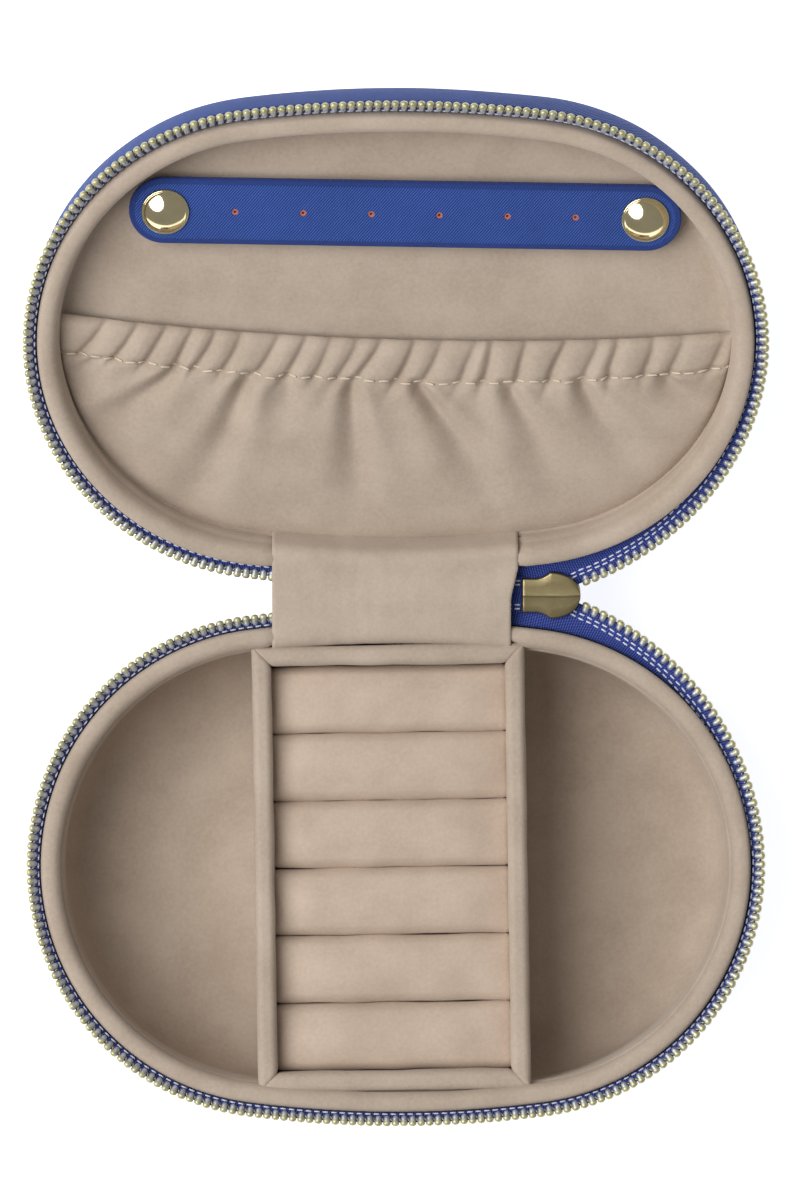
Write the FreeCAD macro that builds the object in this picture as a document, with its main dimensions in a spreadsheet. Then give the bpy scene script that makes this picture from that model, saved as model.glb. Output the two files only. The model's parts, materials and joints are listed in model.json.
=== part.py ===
import FreeCAD, Part
import math
import os
import Sketcher

# Travel jewelry case, standing open. Millimetres, +Z up, +Y towards the hinge, origin at the
# centre of the underside of the tray. Every shell outline is the same oval of four tangent arcs,
# moved in or out by a growth that is measured from the outer edge of the soft rim.

SIZES = {
    # outline and heights
    "half_length": 79.3,         # of the rim's outer oval, along X
    "half_width": 54.9,          # of the rim's outer oval, along Y
    "end_radius": 53.2,          # of its two end arcs
    "tray_depth": 38.0,
    "lid_depth": 16.0,
    # layers of a shell, from the outside in
    "cover": 1.6,                # cover cloth on its foam backing
    "cover_round": 3.5,
    "panel": 1.2,                # cloth panel that closes the outside
    "panel_inset": 6.0,
    "board": 2.0,                # stiffening board
    "board_drop": 5.0,           # from the rim down to the top of the wall board
    "lining": 1.8,               # padded lining of the floor
    "rim": 4.5,                  # width of the padded rim
    "rim_round": 1.9,
    # zip
    "seam_drop": 3.7,            # from the rim down to the seam of cover, tape and hinge cloth
    "tape": 0.5,
    "tape_tuck": 8.0,
    "tape_flare": 0.8,
    "tape_top": 1.0,             # below the rim
    "coil_inside": 1.4,
    "coil_outside": 3.1,
    "coil_low": 2.5,             # below the rim
    "coil_high": 0.5,            # above the rim
    # hinge
    "open_angle": 156.0,
    "hinge_left": 28.0,
    "hinge_right": 27.0,
    "zip_gap_right": 41.5,
    "hinge_length": 8.7,         # between the two seams
    "hinge_cloth": 1.0,
    "hinge_clear": 0.4,
    "strap_lift": 5.5,
    "strap_cloth": 0.6,
    "strap_over": 6.6,           # beyond each seam, over the rims
    "strap_tuck": 1.0,
    # ring box in the tray
    "box_length": 61.0,
    "box_width": 99.6,
    "box_wall": 4.4,
    "box_drop": 1.0,             # below the rim
    "box_shift_x": -1.0,
    "box_shift_y": -0.4,
    "box_turn": 0.9,
    "box_round": 2.0,
    "box_gap": 0.5,
    "roll_count": 6,
    "roll_pitch": 15.1,
    "roll_gap": 0.25,
    "roll_base_top": 15.0,
    "roll_top": 33.5,
    "roll_crown": 2.6,
    "roll_round": 3.0,
    # pocket and earring strap in the lid
    "pocket_level": 8.3,
    "pocket_cloth": 1.2,
    "pocket_edge": -2.3,
    "pocket_edge_x": 8.0,
    "pocket_bow": 560.0,
    "elastic_width": 6.0,
    "elastic": 0.7,
    "bar_length": 121.0,
    "bar_width": 14.6,
    "bar_thick": 1.8,
    "bar_x": 2.1,
    "bar_y": 29.1,
    "bar_turn": -1.0,
    "bar_level": 8.0,
    "hole_count": 6,
    "hole_pitch": 15.0,
    "hole_bore": 1.8,
    "snap_spacing": 105.8,
    "cap_radius": 5.3,
    "cap_edge": 0.5,
    "cap_height": 2.5,
    "shank_radius": 1.5,
    "socket_radius": 4.4,
    "socket_bore": 2.3,
    "socket_roof": 0.3,
    "stud_radius": 4.8,
    "stud_flange": 0.6,
    "stud_post": 1.9,
    "snap_clear": 0.2,
    # zip slider and its puller
    "slider_x": 34.7,
    "slider_length": 13.2,
    "slider_width": 10.7,
    "slider_tail": 7.8,
    "plate": 0.9,
    "plate_low": -3.3,           # underside of the outer plate, from the tape's inner face
    "plate_high": 0.9,           # underside of the inner plate
    "neck": 2.6,                 # straight length of the tail
    "widest": 0.8,               # from the slider's middle back to its widest point
    "neck_radius": 4.0,
    "post_start": 2.9,
    "post_end": 5.0,
    "guide_start": 1.1,
    "guide_end": 1.3,
    "guide_inset": 0.2,
    "guide": 0.8,
    "guide_height": 1.6,
    "lug_drop": 2.6,
    "lug_thick": 1.2,
    "lug_length": 3.2,
    "pin_radius": 0.65,
    "pin_clear": 0.25,
    "puller_length": 20.0,
    "puller_width": 6.4,
    "puller_thick": 1.4,
    "puller_slot": 2.2,          # from the pin's middle to the end of the slot
    "puller_arms": 3.6,
    "puller_flare": 2.0,
    "chain_width": 5.8,
    "chain_thick": 2.0,
    "closed_tape": 8.0,
    "closed_end": 36.4,
}

SIDE_RADIUS = ("(((Sizes.half_length - Sizes.end_radius)^2 + Sizes.half_width^2 - Sizes.end_radius^2)"
               " / (2 * (Sizes.half_width - Sizes.end_radius)))")

# The hinge cloth turns half of the opening at each of its two seams.
TILT = "(180 - Sizes.open_angle)"
HINGE_TILT = "(90 - Sizes.open_angle / 2)"
SEAM_REACH = "(Sizes.half_width + Sizes.cover)"
TRAY_SEAM_Z = "(Sizes.tray_depth - Sizes.seam_drop)"
LID_SEAM_Z = "(Sizes.lid_depth - Sizes.seam_drop)"
LID_SEAM_Y = f"({SEAM_REACH} + Sizes.hinge_length * cos({HINGE_TILT}))"
LID_SEAM_UP = f"({TRAY_SEAM_Z} + Sizes.hinge_length * sin({HINGE_TILT}))"
LID_Y = f"{LID_SEAM_Y} + {SEAM_REACH} * cos({TILT}) + {LID_SEAM_Z} * sin({TILT})"
LID_Z = f"{LID_SEAM_UP} + {SEAM_REACH} * sin({TILT}) - {LID_SEAM_Z} * cos({TILT})"
FLOOR = "(Sizes.panel + Sizes.board)"
FLOOR_TOP = f"({FLOOR} + Sizes.lining)"

X_AXIS = FreeCAD.Vector(1, 0, 0)
Z_AXIS = FreeCAD.Vector(0, 0, 1)
HORIZONTAL_AXIS = -1
VERTICAL_AXIS = -2
START, END, CENTRE = 1, 2, 3

doc = FreeCAD.newDocument("JewelryCase")
sheet = doc.addObject("Spreadsheet::Sheet", "Sizes")
sub_parts = []


def fill_sheet():
    for row, (alias, value) in enumerate(SIZES.items(), start=1):
        sheet.set(f"A{row}", alias)
        sheet.set(f"B{row}", str(value))
        sheet.setAlias(f"B{row}", alias)
    doc.recompute()


def number(expression):
    return float(sheet.evalExpression(str(expression)))


# ---- bodies, sketches and features -------------------------------------------------------

def new_body(name):
    body = doc.addObject("PartDesign::Body", name)
    body.Label = name
    sub_parts.append(body)
    return body


def origin_feature(body, role):
    return next(feature for feature in body.Origin.OriginFeatures if feature.Role == role)


def new_sketch(body, level="0", plane="XY_Plane"):
    sketch = body.newObject("Sketcher::SketchObject", "Sketch")
    sketch.AttachmentSupport = [(origin_feature(body, plane), "")]
    sketch.MapMode = "FlatFace"
    sketch.setExpression("AttachmentOffset.Base.z", level)
    return sketch


def dimension(sketch, expression, kind, *where):
    index = sketch.addConstraint(Sketcher.Constraint(kind, *where, number(expression)))
    sketch.setExpression(f"Constraints[{index}]", expression)


def add_oval(sketch, growth):
    """Four tangent arcs: the rim's oval moved outwards by the growth."""
    reach = number("Sizes.half_length - Sizes.end_radius")
    end_radius = number(f"Sizes.end_radius + ({growth})")
    side_radius = number(f"{SIDE_RADIUS} + ({growth})")
    side_centre = number(f"Sizes.half_width + ({growth})") - side_radius
    turn = math.atan2(-side_centre, reach)
    arcs = (
        (reach, 0, end_radius, -turn, turn),
        (0, side_centre, side_radius, turn, math.pi - turn),
        (-reach, 0, end_radius, math.pi - turn, math.pi + turn),
        (0, -side_centre, side_radius, math.pi + turn, 2 * math.pi - turn),
    )
    right, rear, left, front = [
        sketch.addGeometry(Part.ArcOfCircle(
            Part.Circle(FreeCAD.Vector(x, y, 0), Z_AXIS, radius), begin, finish), False)
        for x, y, radius, begin, finish in arcs
    ]
    sketch.addConstraint([
        Sketcher.Constraint("Tangent", right, END, rear, START),
        Sketcher.Constraint("Tangent", rear, END, left, START),
        Sketcher.Constraint("Coincident", left, END, front, START),
        Sketcher.Constraint("Coincident", front, END, right, START),
        Sketcher.Constraint("PointOnObject", right, CENTRE, HORIZONTAL_AXIS),
        Sketcher.Constraint("PointOnObject", left, CENTRE, HORIZONTAL_AXIS),
        Sketcher.Constraint("PointOnObject", rear, CENTRE, VERTICAL_AXIS),
        Sketcher.Constraint("Vertical", right, START, right, END),
        Sketcher.Constraint("Vertical", left, START, left, END),
        Sketcher.Constraint("Equal", right, left),
        Sketcher.Constraint("Equal", rear, front),
    ])
    dimension(sketch, "Sizes.half_length - Sizes.end_radius", "DistanceX",
              HORIZONTAL_AXIS, START, right, CENTRE)
    dimension(sketch, f"Sizes.end_radius + ({growth})", "Radius", right)
    dimension(sketch, f"{SIDE_RADIUS} + ({growth})", "Radius", rear)


def add_outline(sketch, corners):
    """A closed outline through corners (x, y) or (x, y, radius).

    A radius makes an arc from that corner to the next one: positive bulges outwards when the
    corners run anticlockwise, negative inwards.
    """
    spots = [FreeCAD.Vector(number(corner[0]), number(corner[1]), 0) for corner in corners]
    edges = []
    for index, corner in enumerate(corners):
        begin = spots[index]
        finish = spots[(index + 1) % len(spots)]
        if len(corner) == 2:
            edges.append(sketch.addGeometry(Part.LineSegment(begin, finish), False))
            continue
        radius = number(corner[2])
        chord = finish - begin
        outward = FreeCAD.Vector(chord.y, -chord.x, 0).normalize() * math.copysign(1, radius)
        rise = abs(radius) - math.sqrt(radius * radius - (chord.Length / 2) ** 2)
        edges.append(sketch.addGeometry(
            Part.Arc(begin, (begin + finish) * 0.5 + outward * rise, finish), False))
    for index, corner in enumerate(corners):
        # a three-point arc that turns clockwise is stored the other way round
        first = END if is_reversed(corner) else START
        previous = corners[index - 1]
        last = START if is_reversed(previous) else END
        sketch.addConstraint(Sketcher.Constraint(
            "Coincident", edges[index - 1], last, edges[index], first))
        dimension_point(sketch, edges[index], first, corner[0], corner[1])
        if len(corner) == 3:
            dimension(sketch, f"abs({corner[2]})", "Radius", edges[index])


def is_reversed(corner):
    return len(corner) == 3 and number(corner[2]) < 0


def dimension_point(sketch, edge, end, x, y):
    """Fix a point; a coordinate of zero lies on the axis, and a negative one is measured back."""
    for kind, value, axis in (("DistanceX", x, VERTICAL_AXIS), ("DistanceY", y, HORIZONTAL_AXIS)):
        amount = number(value)
        if amount == 0:
            sketch.addConstraint(Sketcher.Constraint("PointOnObject", edge, end, axis))
        elif amount > 0:
            dimension(sketch, str(value), kind, HORIZONTAL_AXIS, START, edge, end)
        else:
            dimension(sketch, f"-({value})", kind, edge, end, HORIZONTAL_AXIS, START)


def add_rectangle(sketch, low_x, high_x, low_y, high_y):
    add_outline(sketch, [(low_x, low_y), (high_x, low_y), (high_x, high_y), (low_x, high_y)])


def add_circle(sketch, x, y, radius):
    circle = sketch.addGeometry(
        Part.Circle(FreeCAD.Vector(number(x), number(y), 0), Z_AXIS, number(radius)), False)
    dimension(sketch, radius, "Radius", circle)
    dimension_point(sketch, circle, CENTRE, x, y)


def oval_sketch(body, level, *growths):
    sketch = new_sketch(body, level)
    for growth in growths:
        add_oval(sketch, growth)
    return sketch


def pad(body, sketch, length, midplane=False):
    feature = body.newObject("PartDesign::Pad", "Pad")
    feature.Profile = sketch
    feature.Midplane = midplane
    feature.setExpression("Length", length)
    doc.recompute()
    return feature


def pocket(body, sketch, depth, midplane=False):
    """Cut downwards from the sketch and make sure that something was removed."""
    before = body.Shape.Volume
    feature = body.newObject("PartDesign::Pocket", "Pocket")
    feature.Profile = sketch
    feature.Midplane = midplane
    feature.setExpression("Length", depth)
    doc.recompute()
    if body.Shape.Volume > before - 0.01:
        raise RuntimeError(f"a pocket removed nothing from {body.Label}")
    return feature


def round_edges(body, base, radius, wanted):
    """Fillet the edges whose bounding box passes the test."""
    names = [f"Edge{index}" for index, edge in enumerate(base.Shape.Edges, start=1)
             if wanted(edge.BoundBox)]
    fillet = body.newObject("PartDesign::Fillet", "Fillet")
    fillet.Base = (base, names)
    fillet.setExpression("Radius", radius)
    doc.recompute()
    return fillet


def lies_at(level):
    height = number(level)
    return lambda box: abs(box.ZMin - height) < 0.01 and abs(box.ZMax - height) < 0.01


def disc(name, growth, low, high):
    body = new_body(name)
    pad(body, oval_sketch(body, low, growth), f"{high} - {low}")
    return body


def ring(name, outside, inside, low, high):
    body = new_body(name)
    pad(body, oval_sketch(body, low, outside, inside), f"{high} - {low}")
    return body


def place(body, x="0", y="0", z="0", axis=Z_AXIS, angle="0"):
    spot = FreeCAD.Vector(number(x), number(y), number(z))
    body.Placement = FreeCAD.Placement(spot, FreeCAD.Rotation(axis, number(angle)))
    body.setExpression("Placement.Base.x", x)
    body.setExpression("Placement.Base.y", y)
    body.setExpression("Placement.Base.z", z)
    body.setExpression("Placement.Rotation.Angle", angle)


# ---- the layers that the tray and the lid share ------------------------------------------

def wall_cover(prefix, depth):
    """Cover cloth: a rounded outer skin, sewn to the tape at its top edge."""
    body = new_body(f"{prefix}_wall_cover")
    seam = f"({depth} - Sizes.seam_drop)"
    skin = pad(body, oval_sketch(body, "0", "Sizes.cover"), seam)
    round_edges(body, skin, "Sizes.cover_round", lies_at("0"))
    pocket(body, oval_sketch(body, seam, "0"), f"{seam} - Sizes.panel")
    pocket(body, oval_sketch(body, seam, "Sizes.tape"), "Sizes.tape_tuck")
    pocket(body, oval_sketch(body, seam, "0 - Sizes.panel_inset"), seam)
    return body


def outer_panel(prefix):
    return disc(f"{prefix}_outer_panel", "0 - Sizes.panel_inset", "0", "Sizes.panel")


def wall_board(prefix, depth):
    return ring(f"{prefix}_wall_board", "0", "0 - Sizes.board", "Sizes.panel",
                f"({depth} - Sizes.board_drop)")


def floor_board(prefix):
    return disc(f"{prefix}_floor_board", "0 - Sizes.board", "Sizes.panel", FLOOR)


def rim_lining(prefix, depth):
    """Padded lining of the wall, which wraps over the top of the board as a soft rim."""
    body = new_body(f"{prefix}_rim_lining")
    board_top = f"({depth} - Sizes.board_drop)"
    pad(body, oval_sketch(body, FLOOR, "0 - Sizes.board", "0 - Sizes.rim"), f"{board_top} - {FLOOR}")
    cap = pad(body, oval_sketch(body, board_top, "0", "0 - Sizes.rim"), "Sizes.board_drop")
    round_edges(body, cap, "Sizes.rim_round", lies_at(depth))
    return body


def floor_lining(prefix):
    return disc(f"{prefix}_floor_lining", "0 - Sizes.rim", FLOOR, FLOOR_TOP)


def cut_hinge_gap(body, level, depth, side):
    """Take the zip away where the hinge cloth and the slider are."""
    sketch = new_sketch(body, level)
    far = "Sizes.half_length"
    low_y, high_y = ("0", far) if side > 0 else (f"0 - {far}", "0")
    add_rectangle(sketch, "0 - Sizes.hinge_left", "Sizes.zip_gap_right", low_y, high_y)
    pocket(body, sketch, depth)


def zip_tape(prefix, depth, side):
    """Woven tape: tucked in behind the cover, then leaning outwards to the coil."""
    body = new_body(f"{prefix}_zip_tape")
    seam = f"({depth} - Sizes.seam_drop)"
    top = f"({depth} - Sizes.tape_top)"
    pad(body, oval_sketch(body, f"{seam} - Sizes.tape_tuck", "Sizes.tape", "0"), "Sizes.tape_tuck")
    lean = (("Sizes.tape", "Sizes.tape + Sizes.tape_flare", "PartDesign::AdditiveLoft"),
            ("0", "Sizes.tape_flare", "PartDesign::SubtractiveLoft"))
    for low_growth, high_growth, kind in lean:
        loft = body.newObject(kind, "Loft")
        loft.Profile = oval_sketch(body, seam, low_growth)
        loft.Sections = [oval_sketch(body, top, high_growth)]
        loft.Ruled = True
        doc.recompute()
    cut_hinge_gap(body, depth, "2 * Sizes.tape_tuck + Sizes.seam_drop", side)
    return body


def zip_coil(prefix, depth, side):
    body = new_body(f"{prefix}_zip_coil")
    low = f"({depth} - Sizes.coil_low)"
    pad(body, oval_sketch(body, low, "Sizes.coil_outside", "Sizes.coil_inside"),
        "Sizes.coil_low + Sizes.coil_high")
    cut_hinge_gap(body, f"{depth} + Sizes.coil_high", "Sizes.coil_low + Sizes.coil_high", side)
    return body


def shell(prefix, depth, hinge_side):
    return [
        wall_cover(prefix, depth),
        outer_panel(prefix),
        wall_board(prefix, depth),
        floor_board(prefix),
        rim_lining(prefix, depth),
        floor_lining(prefix),
        zip_tape(prefix, depth, hinge_side),
        zip_coil(prefix, depth, hinge_side),
    ]


# ---- ring box in the tray ----------------------------------------------------------------

BOX_TOP = "(Sizes.tray_depth - Sizes.box_drop)"
BOX_INNER_X = "(Sizes.box_length / 2 - Sizes.box_wall)"
BOX_INNER_Y = "(Sizes.box_width / 2 - Sizes.box_wall)"


def box_placement():
    shift = FreeCAD.Vector(number("Sizes.box_shift_x"), number("Sizes.box_shift_y"), 0)
    return FreeCAD.Placement(shift, FreeCAD.Rotation(Z_AXIS, number("Sizes.box_turn")))


def place_in_box(body):
    body.Placement = box_placement()


def box_wall(name, low_x, high_x, low_y, high_y, along):
    """A padded board wall with a rounded top, trimmed to the oval of the rim lining."""
    body = new_body(name)
    sketch = new_sketch(body, FLOOR_TOP)
    add_rectangle(sketch, low_x, high_x, low_y, high_y)
    block = pad(body, sketch, f"{BOX_TOP} - {FLOOR_TOP}")
    at_top = lies_at(BOX_TOP)

    def long_way(box):
        return box.YLength > box.XLength if along == "y" else box.XLength > box.YLength

    round_edges(body, block, "Sizes.box_round", lambda box: at_top(box) and long_way(box))
    trim = new_sketch(body, BOX_TOP)
    back = box_placement().inverse()
    trim.AttachmentOffset = FreeCAD.Placement(
        FreeCAD.Vector(back.Base.x, back.Base.y, number(BOX_TOP)), back.Rotation)
    reach = "Sizes.half_length"
    add_rectangle(trim, f"0 - {reach}", reach, f"0 - {reach}", reach)
    add_oval(trim, "0 - Sizes.rim - Sizes.box_gap")
    pocket(body, trim, BOX_TOP)
    place_in_box(body)


def ring_box():
    half_x = "Sizes.box_length / 2"
    half_y = "Sizes.box_width / 2"
    box_wall("ring_box_left_wall", f"0 - {half_x}", f"0 - {BOX_INNER_X}",
             f"0 - {half_y}", half_y, "y")
    box_wall("ring_box_right_wall", BOX_INNER_X, half_x, f"0 - {half_y}", half_y, "y")
    box_wall("ring_box_rear_wall", f"0 - {BOX_INNER_X}", BOX_INNER_X, BOX_INNER_Y, half_y, "x")
    box_wall("ring_box_front_wall", f"0 - {BOX_INNER_X}", BOX_INNER_X,
             f"0 - {half_y}", f"0 - {BOX_INNER_Y}", "x")


def ring_roll_base():
    body = new_body("ring_roll_base")
    sketch = new_sketch(body, FLOOR_TOP)
    add_rectangle(sketch, f"0 - {BOX_INNER_X}", BOX_INNER_X, f"0 - {BOX_INNER_Y}", BOX_INNER_Y)
    pad(body, sketch, f"Sizes.roll_base_top - {FLOOR_TOP}")
    place_in_box(body)


def ring_roll(index):
    """A foam roll across the box, with a crowned top."""
    body = new_body(f"ring_roll_{index}")
    sketch = new_sketch(body, "0", "YZ_Plane")
    middle = f"((Sizes.roll_count + 1) / 2 - {index}) * Sizes.roll_pitch"
    half = "(Sizes.roll_pitch - Sizes.roll_gap) / 2"
    shoulder = "Sizes.roll_top - Sizes.roll_crown"
    crown_radius = f"(({half})^2 + Sizes.roll_crown^2) / (2 * Sizes.roll_crown)"
    add_outline(sketch, [
        (f"{middle} - {half}", "Sizes.roll_base_top"),
        (f"{middle} + {half}", "Sizes.roll_base_top"),
        (f"{middle} + {half}", shoulder, crown_radius),
        (f"{middle} - {half}", shoulder),
    ])
    block = pad(body, sketch, f"2 * {BOX_INNER_X} - Sizes.roll_gap", midplane=True)
    round_edges(body, block, "Sizes.roll_round", lies_at(shoulder))
    place_in_box(body)


# ---- hinge -------------------------------------------------------------------------------

def place_on_hinge(body, x="0"):
    place(body, x, SEAM_REACH, TRAY_SEAM_Z, X_AXIS, HINGE_TILT)


def hinge_cloth():
    """Outer hinge: a strip of cover cloth between the two seams."""
    body = new_body("hinge_cloth")
    sketch = new_sketch(body, "0 - Sizes.hinge_cloth / 2")
    add_rectangle(sketch, "0 - Sizes.hinge_left", "Sizes.hinge_right",
                  "Sizes.hinge_clear", "Sizes.hinge_length - Sizes.hinge_clear")
    pad(body, sketch, "Sizes.hinge_cloth")
    place_on_hinge(body)


def hinge_strap():
    """Inner strap: lining cloth over both rims, tucked in at each end."""
    body = new_body("hinge_strap")
    sketch = new_sketch(body, "0", "YZ_Plane")
    near = "(0 - Sizes.strap_over)"
    far = "(Sizes.hinge_length + Sizes.strap_over)"
    high = "(Sizes.strap_lift + Sizes.strap_cloth / 2)"
    low = "(Sizes.strap_lift - Sizes.strap_cloth / 2)"
    drop = f"Sizes.strap_tuck * cos({HINGE_TILT})"
    back = f"Sizes.strap_tuck * sin({HINGE_TILT})"
    thick = "Sizes.strap_cloth"
    add_outline(sketch, [
        (f"{near} - {back}", f"{high} - {drop}"),
        (f"{near} - {back} + {thick}", f"{high} - {drop}"),
        (f"{near} + {thick}", low),
        (f"{far} - {thick}", low),
        (f"{far} + {back} - {thick}", f"{high} - {drop}"),
        (f"{far} + {back}", f"{high} - {drop}"),
        (far, high),
        (near, high),
    ])
    pad(body, sketch, "Sizes.hinge_left + Sizes.hinge_right", midplane=True)
    place_on_hinge(body, "(Sizes.hinge_right - Sizes.hinge_left) / 2")


def zip_closed_end():
    """The last bit of the zip, always closed: joined tapes with the meshed chain under them."""
    body = new_body("zip_closed_end")
    middle = "Sizes.hinge_length / 2"
    left = "Sizes.hinge_right + Sizes.hinge_clear"
    for width, low, thickness in (("Sizes.closed_tape", "0", "Sizes.tape"),
                                  ("Sizes.chain_width", "0 - Sizes.chain_thick",
                                   "Sizes.chain_thick")):
        sketch = new_sketch(body, low)
        add_rectangle(sketch, left, "Sizes.closed_end",
                      f"{middle} - {width} / 2", f"{middle} + {width} / 2")
        pad(body, sketch, thickness)
    place_on_hinge(body)


# ---- zip slider and puller ---------------------------------------------------------------

SLIDER_Y = f"{SEAM_REACH} + Sizes.hinge_length / 2 * cos({HINGE_TILT})"
SLIDER_Z = f"{TRAY_SEAM_Z} + Sizes.hinge_length / 2 * sin({HINGE_TILT})"
PIVOT_DROP = "(0 - Sizes.plate_low + Sizes.lug_drop / 2)"


def slider_plate(body, level):
    """Plate with a straight tail, a waisted neck and a rounded nose."""
    tail = "Sizes.slider_length / 2"
    narrow = "Sizes.slider_tail / 2"
    wide = "Sizes.slider_width / 2"
    nose_radius = f"(({tail})^2 + ({wide})^2) / (2 * {wide})"
    sketch = new_sketch(body, level)
    add_outline(sketch, [
        (f"0 - {tail}", f"0 - {narrow}"),
        (f"Sizes.neck - {tail}", f"0 - {narrow}", "0 - Sizes.neck_radius"),
        ("0 - Sizes.widest", f"0 - {wide}", nose_radius),
        (tail, "0", nose_radius),
        ("0 - Sizes.widest", wide, "0 - Sizes.neck_radius"),
        (f"Sizes.neck - {tail}", narrow),
        (f"0 - {tail}", narrow),
    ])
    return pad(body, sketch, "Sizes.plate")


def zip_slider():
    """Two plates joined by a post in the nose, with side guides and a lug for the puller."""
    body = new_body("zip_slider")
    slider_plate(body, "Sizes.plate_low")
    post = new_sketch(body, "Sizes.plate_low")
    add_rectangle(post, "Sizes.post_start", "Sizes.post_end", "0 - Sizes.plate", "Sizes.plate")
    pad(body, post, "Sizes.plate_high - Sizes.plate_low + Sizes.plate / 2")
    slider_plate(body, "Sizes.plate_high")
    guides = new_sketch(body, "Sizes.plate_low + Sizes.plate")
    outer = "(Sizes.slider_width / 2 - Sizes.guide_inset)"
    for near, far in ((f"0 - {outer}", f"0 - {outer} + Sizes.guide"),
                      (f"{outer} - Sizes.guide", outer)):
        add_rectangle(guides, "0 - Sizes.guide_start", "Sizes.guide_end", near, far)
    pad(body, guides, "Sizes.guide_height")
    lug = new_sketch(body, "Sizes.plate_low - Sizes.lug_drop")
    add_rectangle(lug, "0 - Sizes.lug_length / 2", "Sizes.lug_length / 2",
                  "0 - Sizes.lug_thick / 2", "Sizes.lug_thick / 2")
    pad(body, lug, "Sizes.lug_drop + Sizes.plate / 2")
    eye = new_sketch(body, "0", "XZ_Plane")
    add_circle(eye, "0", f"0 - {PIVOT_DROP}", "Sizes.pin_radius + Sizes.pin_clear")
    pocket(body, eye, "2 * Sizes.lug_thick", midplane=True)
    place(body, "Sizes.slider_x", SLIDER_Y, SLIDER_Z, X_AXIS, HINGE_TILT)


def zip_puller():
    """A pin through the lug, two arms and a flat tab that hangs from them."""
    body = new_body("zip_puller")
    half_pin = "(Sizes.lug_thick / 2 + Sizes.pin_clear + Sizes.guide)"
    pin = new_sketch(body, "0", "XZ_Plane")
    add_circle(pin, "0", "0", "Sizes.pin_radius")
    pad(body, pin, f"2 * {half_pin}", midplane=True)
    tab = new_sketch(body, "0", "YZ_Plane")
    inner = "(Sizes.lug_thick / 2 + Sizes.pin_clear)"
    shoulder = "(0 - Sizes.puller_arms)"
    half = "Sizes.puller_width / 2"
    add_outline(tab, [
        (inner, "Sizes.pin_radius"),
        (inner, "0 - Sizes.puller_slot"),
        (f"0 - {inner}", "0 - Sizes.puller_slot"),
        (f"0 - {inner}", "Sizes.pin_radius"),
        (f"0 - {half_pin}", "Sizes.pin_radius"),
        (f"0 - {half_pin}", shoulder),
        (f"0 - {half}", f"{shoulder} - Sizes.puller_flare"),
        (f"0 - {half}", f"{half} - Sizes.puller_length", half),
        ("0", "0 - Sizes.puller_length", half),
        (half, f"{half} - Sizes.puller_length"),
        (half, f"{shoulder} - Sizes.puller_flare"),
        (half_pin, shoulder),
        (half_pin, "Sizes.pin_radius"),
    ])
    pad(body, tab, "Sizes.puller_thick", midplane=True)
    place(body, "Sizes.slider_x", f"{SLIDER_Y} + {PIVOT_DROP} * sin({HINGE_TILT})",
          f"{SLIDER_Z} - {PIVOT_DROP} * cos({HINGE_TILT})", X_AXIS, HINGE_TILT)


# ---- pocket and earring strap in the lid ---------------------------------------------------

BOW_CENTRE = "Sizes.pocket_edge + Sizes.pocket_bow"


def place_on_lid(body):
    place(body, "0", LID_Y, LID_Z, X_AXIS, TILT)


def lid_pocket():
    """Gathered pocket sheet, from the hinge side of the lid to a bowed open edge."""
    body = new_body("lid_pocket")
    pad(body, oval_sketch(body, "Sizes.pocket_level", "0 - Sizes.rim"), "Sizes.pocket_cloth")
    away = new_sketch(body, "Sizes.pocket_level + Sizes.pocket_cloth")
    add_circle(away, "Sizes.pocket_edge_x", BOW_CENTRE, "Sizes.pocket_bow")
    pocket(body, away, "Sizes.pocket_cloth")
    place_on_lid(body)


def pocket_elastic():
    """Elastic in the hem, under the open edge of the pocket."""
    body = new_body("pocket_elastic")
    low = "(Sizes.pocket_level - Sizes.elastic)"
    pad(body, oval_sketch(body, low, "0 - Sizes.rim"), "Sizes.elastic")
    away = new_sketch(body, "Sizes.pocket_level")
    add_circle(away, "Sizes.pocket_edge_x", BOW_CENTRE, "Sizes.pocket_bow")
    pocket(body, away, "Sizes.elastic")
    rest = new_sketch(body, "Sizes.pocket_level")
    reach = "2 * Sizes.pocket_bow"
    add_rectangle(rest, f"0 - {reach}", reach, f"0 - {reach}", reach)
    add_circle(rest, "Sizes.pocket_edge_x", BOW_CENTRE, "Sizes.pocket_bow + Sizes.elastic_width")
    pocket(body, rest, "Sizes.elastic")
    place_on_lid(body)


def place_on_bar(body):
    """Strap frame: on the lid's floor at the strap's centre, turned a little in its plane."""
    lid_tilt = FreeCAD.Rotation(X_AXIS, number(TILT))
    turn = FreeCAD.Rotation(Z_AXIS, number("Sizes.bar_turn"))
    corner = FreeCAD.Vector(0, number(LID_Y), number(LID_Z))
    spot = FreeCAD.Vector(number("Sizes.bar_x"), number("Sizes.bar_y"), 0)
    body.Placement = FreeCAD.Placement(corner + lid_tilt.multVec(spot), lid_tilt.multiply(turn))


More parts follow.
